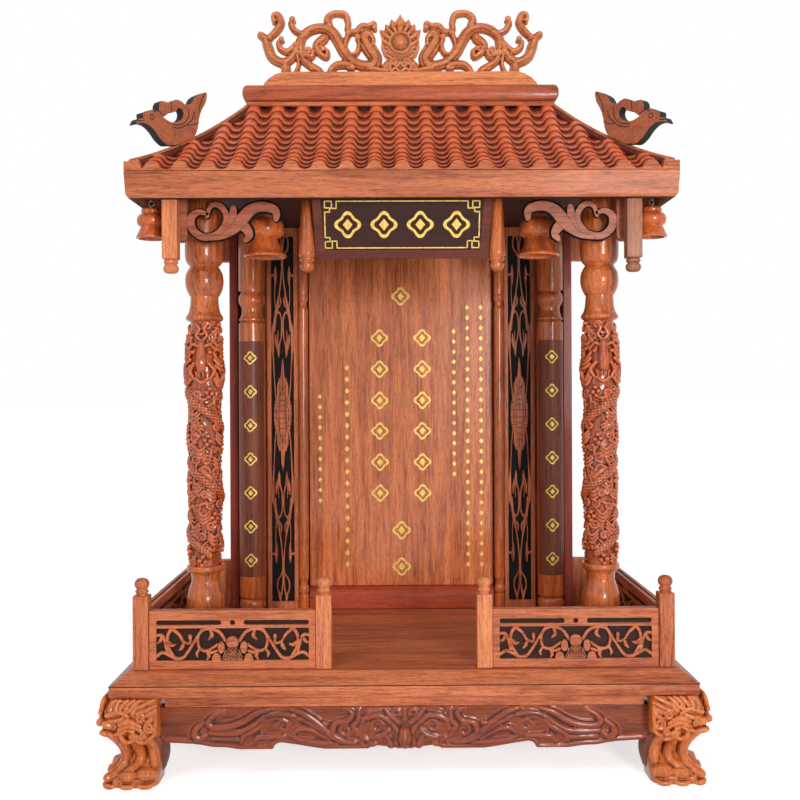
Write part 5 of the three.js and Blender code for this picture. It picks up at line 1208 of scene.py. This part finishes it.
def roof_height(share):
    """The height of the tiles' crests at a share of the run; the roof is steeper towards the ridge."""
    return EAVE_Z + EDGE_THICK + (RIDGE_Z - EAVE_Z - EDGE_THICK) * (0.62 * share + 0.38 * share ** 2)


def tile_wave(distance):
    """Height of the tiles across the rows: a half-round crest and a shallow channel."""
    off = abs((distance + PITCH / 2) % PITCH - PITCH / 2)
    if off < CREST_HALF:
        return CREST * math.sqrt(1 - (off / CREST_ROUND) ** 2) * 0.9 + 0.64
    return 0.2 + 1.6 * ((off - PITCH / 2) / (PITCH / 2 - CREST_HALF)) ** 2


# The profile of one course: how far up the course, how high in millimetres, and how much painted shade it
# takes.
LIP = [(0.1, -1.5, 1.0), (0.0, 0.3, 0.3), (0.08, 0.6, 0.12), (0.5, -0.3, 0.42)]


def tile_slope(half_span, run):
    """One slope before its hips are cut: its eave along X at Y zero, rising towards +Y."""
    shape = bmesh.new()
    rows = COURSES * len(LIP)
    columns = int(round(2 * half_span / PITCH * TILE_STEPS))
    bmesh.ops.create_grid(shape, x_segments=columns, y_segments=rows, size=0.5)
    hollow = shape.verts.layers.float.new("hollow")
    top = {part for part in bmesh.ops.extrude_face_region(shape, geom=shape.faces[:])["geom"]
           if isinstance(part, bmesh.types.BMVert)}
    for vert in shape.verts:
        x = vert.co.x * 2 * half_span
        row = round((vert.co.y + 0.5) * rows)
        course, step = divmod(row, len(LIP))
        ahead, lift, deep = LIP[step]
        share = min(1, (course + ahead) / COURSES)
        if row == 0:
            share, lift, deep = 0, 0.2, 0.2
        if row == rows:
            share, lift = 1, 0.5
        z = roof_height(share)
        # The hollow values here are painted shade and highlight: shade under each lip and in the channels, a
        # painted highlight on the crests and along the eave's front edge.
        vert[hollow] = 0.5
        if vert in top:
            wave = tile_wave(x)
            z += wave - CREST + lift
            vert[hollow] = max(0, min(1, deep + 0.5 * (0.5 - wave / CREST)))
            if row == 0:
                vert[hollow] = 0
        else:
            z = max(EAVE_Z, z - SLOPE_THICK)
            vert[hollow] = 0 if row == 0 else 0.5
        vert.co = (x * MM, share * run * MM, min(z, RIDGE_Z) * MM)
    bmesh.ops.recalc_face_normals(shape, faces=shape.faces)
    return shape


def cut_hips(shape, run, other_run, half_span):
    """Cuts a slope along its two hips, and closes the cuts."""
    for sign in (-1, 1):
        normal = Vector((sign * run, other_run, 0)).normalized()
        cut = bmesh.ops.bisect_plane(shape, geom=shape.verts[:] + shape.edges[:] + shape.faces[:],
                                     plane_co=(sign * half_span * MM, 0, 0), plane_no=normal,
                                     clear_outer=True)["geom_cut"]
        edges = [part for part in cut if isinstance(part, bmesh.types.BMEdge)]
        filled = bmesh.ops.holes_fill(shape, edges=edges, sides=0)["faces"]
        bmesh.ops.triangulate(shape, faces=filled)
    return shape


for name, half_span, half_across, run, other, turn, grain in (
        ("front", HALF_LENGTH, HALF_DEPTH, FRONT_RUN, END_RUN, 0, "Y"),
        ("rear", HALF_LENGTH, HALF_DEPTH, FRONT_RUN, END_RUN, 180, "Y"),
        ("left", HALF_DEPTH, HALF_LENGTH, END_RUN, FRONT_RUN, -90, "X"),
        ("right", HALF_DEPTH, HALF_LENGTH, END_RUN, FRONT_RUN, 90, "X")):
    slope = cut_hips(tile_slope(half_span, run), run, other, half_span)
    for face in slope.faces:
        at_eave = face.normal.y < -0.9 and face.calc_center_median().y < 0.01 * MM
        face.material_index = int(at_eave)
    publish(f"roof_slope_{name}_tiles", swung(shifted(slope, 0, -half_across, 0), turn),
            [tile_wood[grain], matt_wood["X"]], smooth=50)

CORNER_THICK = 11
channels, crests, corners = [], [], bmesh.new()
for sign in (-1, 1):
    for y_sign in (-1, 1):
        for rows, inset, up, radius in ((channels, 2.6, -2.4, 3.1), (crests, 1.5, 0.4, 1.5)):
            rows.append([(sign * (HALF_LENGTH - inset - END_RUN * share),
                          y_sign * (HALF_DEPTH - inset - FRONT_RUN * share), roof_height(share) + up, radius)
                         for share in np.linspace(0.03, 0.97, 12)])
        wedge = [(HALF_LENGTH - back, EAVE_Z + up)
                 for back, up in ((13, 0), (0, 0), (0, 5.4), (2, 6.4), (10.6, 8.6), (12.4, 4))]
        corner = sawn(wedge if sign > 0 else [(-x, z) for x, z in wedge], [], 0, CORNER_THICK, 0.4)
        fused(corners, shifted(corner, 0, -HALF_DEPTH if y_sign < 0 else HALF_DEPTH - CORNER_THICK, 0))
    crests.append([(x, sign * (HALF_DEPTH - FRONT_RUN + 3.5), RIDGE_Z - 2.2, 2)
                   for x in (-HALF_LENGTH + END_RUN, HALF_LENGTH - END_RUN)])
channel_shade = rosewood("channel_shade", "X", (112, 50, 36), (66, 28, 22), 0.5)
publish("roof_hip_channels", tubes(channels, steps=3), channel_shade,
        stands_for="roof_slope_front")
publish("roof_hip_crests", fused(corners, tubes(crests, steps=3)), matt_wood["X"],
        stands_for="roof_slope_front")

# Ridge boards: two stepped boards along the top of the roof, their edges broken wider than the other
# boards'. The upper one is paler.
RIDGE_EDGE = 1.2
board("ridge_board_lower", rosewood("ridge_rosewood", "X", (202, 102, 62), (116, 48, 30), 0.3, 0.4),
      RIDGE_EDGE)
board("ridge_board_upper", rosewood("ridge_top_rosewood", "X", (246, 152, 98), (172, 88, 54), 0.4, 0.2),
      RIDGE_EDGE)

# Ridge carving: two dragons that face a flaming pearl, sawn through one board and carved on both faces.
# The pearl has a ring, licks of flame and a cloud under it.
RIDGE_TALL, RIDGE_HALF, FACE_Y = 55, 123, 4.4
ridge_low, ridge_high = span("ridge_carving")
# The strokes of one dragon in shares from the middle outwards and upwards, and half widths in shares of
# the height.
DRAGONS = [
    [(0.98, 0.62, 0.12), (0.95, 0.56, 0.13), (0.93, 0.43, 0.15), (0.9, 0.27, 0.15), (0.83, 0.19, 0.15),
     (0.77, 0.25, 0.14), (0.73, 0.4, 0.13), (0.7, 0.56, 0.13), (0.64, 0.69, 0.15), (0.555, 0.735, 0.15),
     (0.48, 0.67, 0.17), (0.43, 0.5, 0.17), (0.388, 0.33, 0.17), (0.33, 0.2, 0.16), (0.26, 0.14, 0.17),
     (0.2, 0.14, 0.2), (0.175, 0.25, 0.2), (0.215, 0.4, 0.22), (0.25, 0.54, 0.2), (0.235, 0.64, 0.17),
     (0.195, 0.57, 0.09), (0.19, 0.47, 0.06)],
    [(0.92, 0.58, 0.1), (0.87, 0.69, 0.12), (0.84, 0.81, 0.12), (0.86, 0.93, 0.12), (0.89, 0.93, 0.09),
     (0.89, 0.84, 0.06)],
    [(0.67, 0.62, 0.1), (0.735, 0.68, 0.1), (0.757, 0.74, 0.1), (0.767, 0.81, 0.1), (0.757, 0.86, 0.08)],
    [(0.735, 0.46, 0.1), (0.79, 0.36, 0.11), (0.84, 0.4, 0.1), (0.855, 0.5, 0.09), (0.835, 0.55, 0.07)],
    [(0.655, 0.65, 0.1), (0.69, 0.56, 0.12), (0.7, 0.41, 0.13), (0.67, 0.3, 0.12), (0.625, 0.28, 0.11),
     (0.615, 0.36, 0.08), (0.64, 0.39, 0.06)],
    [(0.7, 0.33, 0.12), (0.67, 0.2, 0.12), (0.62, 0.12, 0.13), (0.575, 0.05, 0.14), (0.57, -0.03, 0.14)],
    [(0.73, 0.36, 0.08), (0.715, 0.17, 0.07), (0.73, 0.05, 0.09), (0.74, -0.03, 0.1)],
    [(0.81, 0.17, 0.14), (0.805, 0.06, 0.15), (0.805, -0.03, 0.17)],
    [(0.54, 0.56, 0.16), (0.59, 0.46, 0.13), (0.565, 0.33, 0.11), (0.52, 0.27, 0.1), (0.515, 0.37, 0.08),
     (0.54, 0.4, 0.07)],
    [(0.5, 0.76, 0.13), (0.51, 0.88, 0.12), (0.465, 0.96, 0.1), (0.39, 0.94, 0.11), (0.367, 0.82, 0.1),
     (0.367, 0.69, 0.1), (0.31, 0.67, 0.11), (0.27, 0.75, 0.12), (0.22, 0.76, 0.1), (0.185, 0.81, 0.08),
     (0.18, 0.73, 0.07)],
    [(0.365, 0.64, 0.1), (0.388, 0.46, 0.08), (0.365, 0.32, 0.08), (0.31, 0.33, 0.09), (0.29, 0.46, 0.08),
     (0.3, 0.58, 0.08)],
    [(0.5, -0.03, 0.11), (0.485, 0.08, 0.11), (0.44, 0.15, 0.13), (0.37, 0.15, 0.13), (0.34, 0.1, 0.1)],
    [(0.22, 0.1, 0.14), (0.14, 0.06, 0.1), (0.1, 0.05, 0.12)],
]
# The outline of the flames and the cloud, from the foot to the tip: millimetres out and up.
FLAMES = [(11, 0.4), (15.6, 3.8), (16.2, 8), (13, 11), (11, 13.2), (14, 16.6), (16.8, 23), (16, 30),
          (18, 38.4), (13.6, 37.4), (13, 43.2), (9.8, 41.6), (7.8, 47.6), (4.4, 44.6)]
strokes = [[(x, 0, z, half * 1.12) for x, z, half in rows] for sign in (-1, 1)
           for rows in placed(DRAGONS, 0, ridge_low[2], sign * RIDGE_HALF, RIDGE_TALL, RIDGE_TALL)]
dragons = tubes(strokes)
for vert in dragons.verts:
    vert.co.y = max(-FACE_Y * MM, min(FACE_Y * MM, vert.co.y * 1.7))
details = []
for rows in strokes:
    for y in (-FACE_Y, FACE_Y):
        details.append([(x, y, z, half * 0.5) for x, _, z, half in rows])
        for x, _, z, half in (rows[0], rows[-1]):
            if z > ridge_low[2] + 4:
                details.append([(x + aside, y * 0.95, z, min(half * 1.1, 2.6)) for aside in (-0.2, 0.2)])
# Snail curls: place in shares, radius, where they start and turns.
SCROLLS = [((0.095, 0.1), 3.6, 90, 1.5), ((0.045, 0.2), 3.2, 0, -1.5), ((0.2, 0.1), 3, 60, -1.4),
           ((0.36, 0.12), 3, 120, 1.4), ((0.62, 0.1), 2.8, 60, 1.4), ((0.25, 0.6), 3, 200, 1.3),
           ((0.565, 0.4), 3, 20, -1.4), ((0.655, 0.36), 2.8, 90, 1.4)]
for sign in (-1, 1):
    for (u, v), radius, start, turns in SCROLLS:
        curl = spiral((u * RIDGE_HALF, ridge_low[2] + v * RIDGE_TALL), radius, start, turns, 1.1)
        for y in (-4.7, 4.7):
            details.append([(sign * x, y, z, thick) for x, z, thick in curl])
tubes(details, steps=4, into=dragons)
flames = [(out, ridge_low[2] + up) for out, up in FLAMES]
pearl_z = ridge_low[2] + 27.4
holes = [[(sign * out + 1.2 * math.cos(a), ridge_low[2] + up + 1.5 * math.sin(a))
          for a in np.linspace(0, math.tau, 10, endpoint=False)]
         for sign in (-1, 1) for out, up in ((12.2, 20.8), (13.4, 29.6), (10, 36.6), (4, 40.4))]
flame_board = [*flames, (0, ridge_low[2] + 51.4), *[(-x, z) for x, z in reversed(flames)]]
fused(dragons, sawn(flame_board, holes, -4, 4, 0.8))
# The two rows of the cloud, and the licks of flame from their foot to their tip: millimetres out and up.
CLOUD_WIDE = [(-14, 4), (-9, 9.4), (-3, 6.4), (0, 9.8), (3, 6.4), (9, 9.4), (14, 4)]
CLOUD_NARROW = [(-8, 2), (-4.6, 4.6), (0, 2), (4.6, 4.6), (8, 2)]
LICKS = [((9.4, 25), (15.8, 30.4)), ((9, 30.6), (16.8, 37.4)), ((7, 34.6), (12.4, 42.4)),
         ((4.2, 37), (7.2, 46.4)), ((0.6, 38), (0.2, 50.4))]
licks = []
for y in (-4.2, 4.2):
    licks.append([(math.cos(a) * 9, y, pearl_z + math.sin(a) * 9, 0.9) for a in np.linspace(0, math.tau, 25)])
    for cloud, radius in ((CLOUD_WIDE, 1.2), (CLOUD_NARROW, 1.1)):
        licks.append([(out, y, ridge_low[2] + up, radius) for out, up in cloud])
    for sign in (-1, 1):
        licks.append([(sign * 8, y, ridge_low[2] + 13.6, 1.2), (sign * 13, y, ridge_low[2] + 17.4, 1.4),
                      (sign * 15.6, y, ridge_low[2] + 24, 1.2)])
        for (out, up), (tip_out, tip_up) in LICKS:
            licks.append([(sign * out, y, ridge_low[2] + up, 1.3),
                          (sign * (out + tip_out) / 2 + sign * 0.8, y, ridge_low[2] + (up + tip_up) / 2, 1.3),
                          (sign * tip_out, y, ridge_low[2] + tip_up, 0.6)])
tubes([[(0, -1.2, pearl_z, 7), (0, 1.2, pearl_z, 7)], *licks], into=dragons)
dragons = level_cut(carve(dragons, 0.55, 1, depth=0.45, keep=0.58), ridge_low[2], -1)
for vert in dragons.verts:
    vert.co.z = min(vert.co.z, ridge_high[2] * MM)
ridge_paint = rosewood("ridge_carving", "X", (226, 138, 84), (156, 78, 44), 0.34, 0.4, hollow_shade=0.95)
publish("ridge_carving_dragons", dragons, ridge_paint)

# Phoenixes: flat birds sawn from board, which stand on the hips and look outwards. Their sawn edges are
# painted near black, as painted shade.
PHOENIX = [(0.5, 0), (0.59, -0.02), (0.68, 0.05), (0.75, 0.15), (0.84, 0.22), (0.93, 0.22), (1, 0.18),
           (0.97, 0.27), (0.91, 0.3), (0.91, 0.38), (0.85, 0.42), (0.77, 0.48), (0.7, 0.47), (0.69, 0.58),
           (0.65, 0.65), (0.54, 0.66), (0.44, 0.74), (0.37, 0.73), (0.32, 0.7), (0.24, 0.74), (0.19, 0.85),
           (0.11, 0.93), (0.01, 1), (0, 0.94), (0.02, 0.82), (0.08, 0.68), (0.12, 0.52), (0.14, 0.36),
           (0.19, 0.22), (0.28, 0.14), (0.43, 0.02)]
PHOENIX_EYELET = [(0.63, 0.4), (0.54, 0.5), (0.46, 0.54), (0.42, 0.61), (0.37, 0.6), (0.35, 0.54),
                  (0.37, 0.46), (0.42, 0.4), (0.5, 0.36), (0.57, 0.37)]
# How long and tall a bird is, and where up the hip and on the bird it stands, in shares.
BIRD_LONG, BIRD_TALL, UP_HIP, UNDER_BIRD = 70, 49, 0.39, 0.4
bird_foot = span("phoenix_front_right")[0][2] - 1.1


def bird_place(points):
    """Places on the bird, from shares of its length and height to millimetres."""
    return [((out - UNDER_BIRD) * BIRD_LONG, up * BIRD_TALL) for out, up in points]


def on_hip(shape):
    """Turns a shape drawn flat in X and Z along the front right hip, and stands it on the hip."""
    swung(shape, math.degrees(math.atan2(-FRONT_RUN, END_RUN)))
    return shifted(shape, HALF_LENGTH - UP_HIP * END_RUN, -HALF_DEPTH + UP_HIP * FRONT_RUN, bird_foot)


bird = sawn(bird_place(along([*PHOENIX, PHOENIX[0]], 3)[:-1]),
            [bird_place(along([*PHOENIX_EYELET, PHOENIX_EYELET[0]], 3)[:-1])], -4, 4, 0.5)
edge_shade = rosewood("burnt_edge", "X", (46, 48, 44), (24, 26, 24), 0.6, pores=0.1)
bird_face = rosewood("bird_face", "X", (192, 112, 76), (142, 76, 52), 0.5, 0.1)
# The faces take the bird's wood; the sawn edges take the near-black painted shade.
for face in bird.faces:
    face.material_index = 0 if abs(face.normal.y) > 0.9 else 1
at_corners("phoenix_{}_bird", on_hip(bird), [bird_face, edge_shade], "right")
# Black lines, painted shade for the cuts that draw the wings, the tail, the beak and the comb, and a ring for
# the eye.
WINGS = [[(0.5, 0.323), (0.4, 0.35), (0.318, 0.425), (0.278, 0.53), (0.27, 0.641)],
         [(0.5, 0.276), (0.4, 0.299), (0.286, 0.399), (0.21, 0.517), (0.188, 0.616)],
         [(0.122, 0.637), (0.106, 0.768), (0.033, 0.967)], [(0.286, 0.38), (0.2, 0.41), (0.13, 0.467)],
         [(0.767, 0.44), (0.727, 0.475), (0.678, 0.46), (0.629, 0.429)], [(0.527, 0.65), (0.522, 0.545)],
         [(0.97, 0.24), (0.91, 0.26)]]
WINGS.append([(0.79 + 0.026 * math.cos(a), 0.355 + 0.037 * math.sin(a))
              for a in np.linspace(0, math.tau, 11)])
lines = [[(*spot, 0.55) for spot in bird_place(rows)] for rows in WINGS]
at_corners("phoenix_{}_cuts", on_hip(ribbons(lines, -4.05, 4.05, steps=3, proud=0)), edge_shade,
           "right")

# Bells: turned rosewood with a hollow mouth, each hung by a steel loop in a screw eye under the eave. A
# bell and its loop ride on the bell's body; the screw eye stays with the shrine.
INNER_BELL = [(0.24, 0.2), (0.18, 0.28), (0.06, 0.41), (0, 0.44), (0, 0.485), (0.03, 0.5), (0.06, 0.485),
              (0.14, 0.4), (0.28, 0.33), (0.4, 0.29), (0.41, 0.3), (0.42, 0.345), (0.5, 0.42), (0.61, 0.44),
              (0.73, 0.41), (0.8, 0.34), (0.82, 0.27), (0.86, 0.27), (0.95, 0.26), (1, 0.1)]
OUTER_BELL = [(0.38, 0.2), (0.3, 0.28), (0.08, 0.38), (0, 0.42), (0, 0.49), (0.04, 0.5), (0.18, 0.44),
              (0.35, 0.365), (0.385, 0.36), (0.41, 0.4), (0.46, 0.45), (0.56, 0.475), (0.67, 0.465),
              (0.77, 0.4), (0.81, 0.33), (0.83, 0.315), (0.86, 0.33), (0.94, 0.33), (0.985, 0.29), (1, 0.1)]
steel, tree, shader = new_paint("steel_wire")
settle(shader, Metallic=1, Roughness=0.3)
dull = tree.noise(tree.place(), 900, 2, 0.5)
steel.node_tree.links.new(tree.mix(dull, ink(150, 150, 146), ink(205, 205, 200)), shader.inputs["Base Color"])


def wire_ring(centre, along_x):
    """A ring of wire about the X or the Y axis, 4 mm across, its wire 1.2 mm thick."""
    ring = bmesh.new()
    bmesh.ops.create_circle(ring, segments=10, radius=0.6 * MM)
    swung(shifted(ring, 2, 0, 0), 90, "X")
    bmesh.ops.spin(ring, geom=ring.verts[:] + ring.edges[:], cent=(0, 0, 0), axis=(0, 0, 1), angle=math.tau,
                   steps=28, use_merge=True)
    bmesh.ops.remove_doubles(ring, verts=ring.verts, dist=0.001 * MM)
    bmesh.ops.recalc_face_normals(ring, faces=ring.faces)
    return shifted(swung(ring, 90, "Y" if along_x else "X"), *centre)


bell_wood = rosewood("bell_rosewood", "Z", (236, 122, 60), (144, 60, 30), 0.28, 0.75)
SHANK_TOP = 450.4
for kind, rows, tall, wide in (("inner", INNER_BELL, 37.6, 34.4), ("outer", OUTER_BELL, 23.5, 23.7)):
    low, high = span(f"bell_{kind}_left")
    x, y = mid(low, high)
    top, body = low[2] + tall, f"bell_{kind}_{{}}"
    bell = turned(rows, tall, wide, (x, y, low[2]), 48)
    across(f"{body}_wood", bell, bell_wood, body=body)
    across(f"{body}_loop", wire_ring((x, y, top + 1.4), True), steel, body=body)
    eye = fused(wire_ring((x, y, top + 3.9), False), tubes([[(x, y, top + 6, 0.6), (x, y, SHANK_TOP, 0.6)]]))
    across(f"screw_eye_{kind}_{{}}_wire", eye, steel)
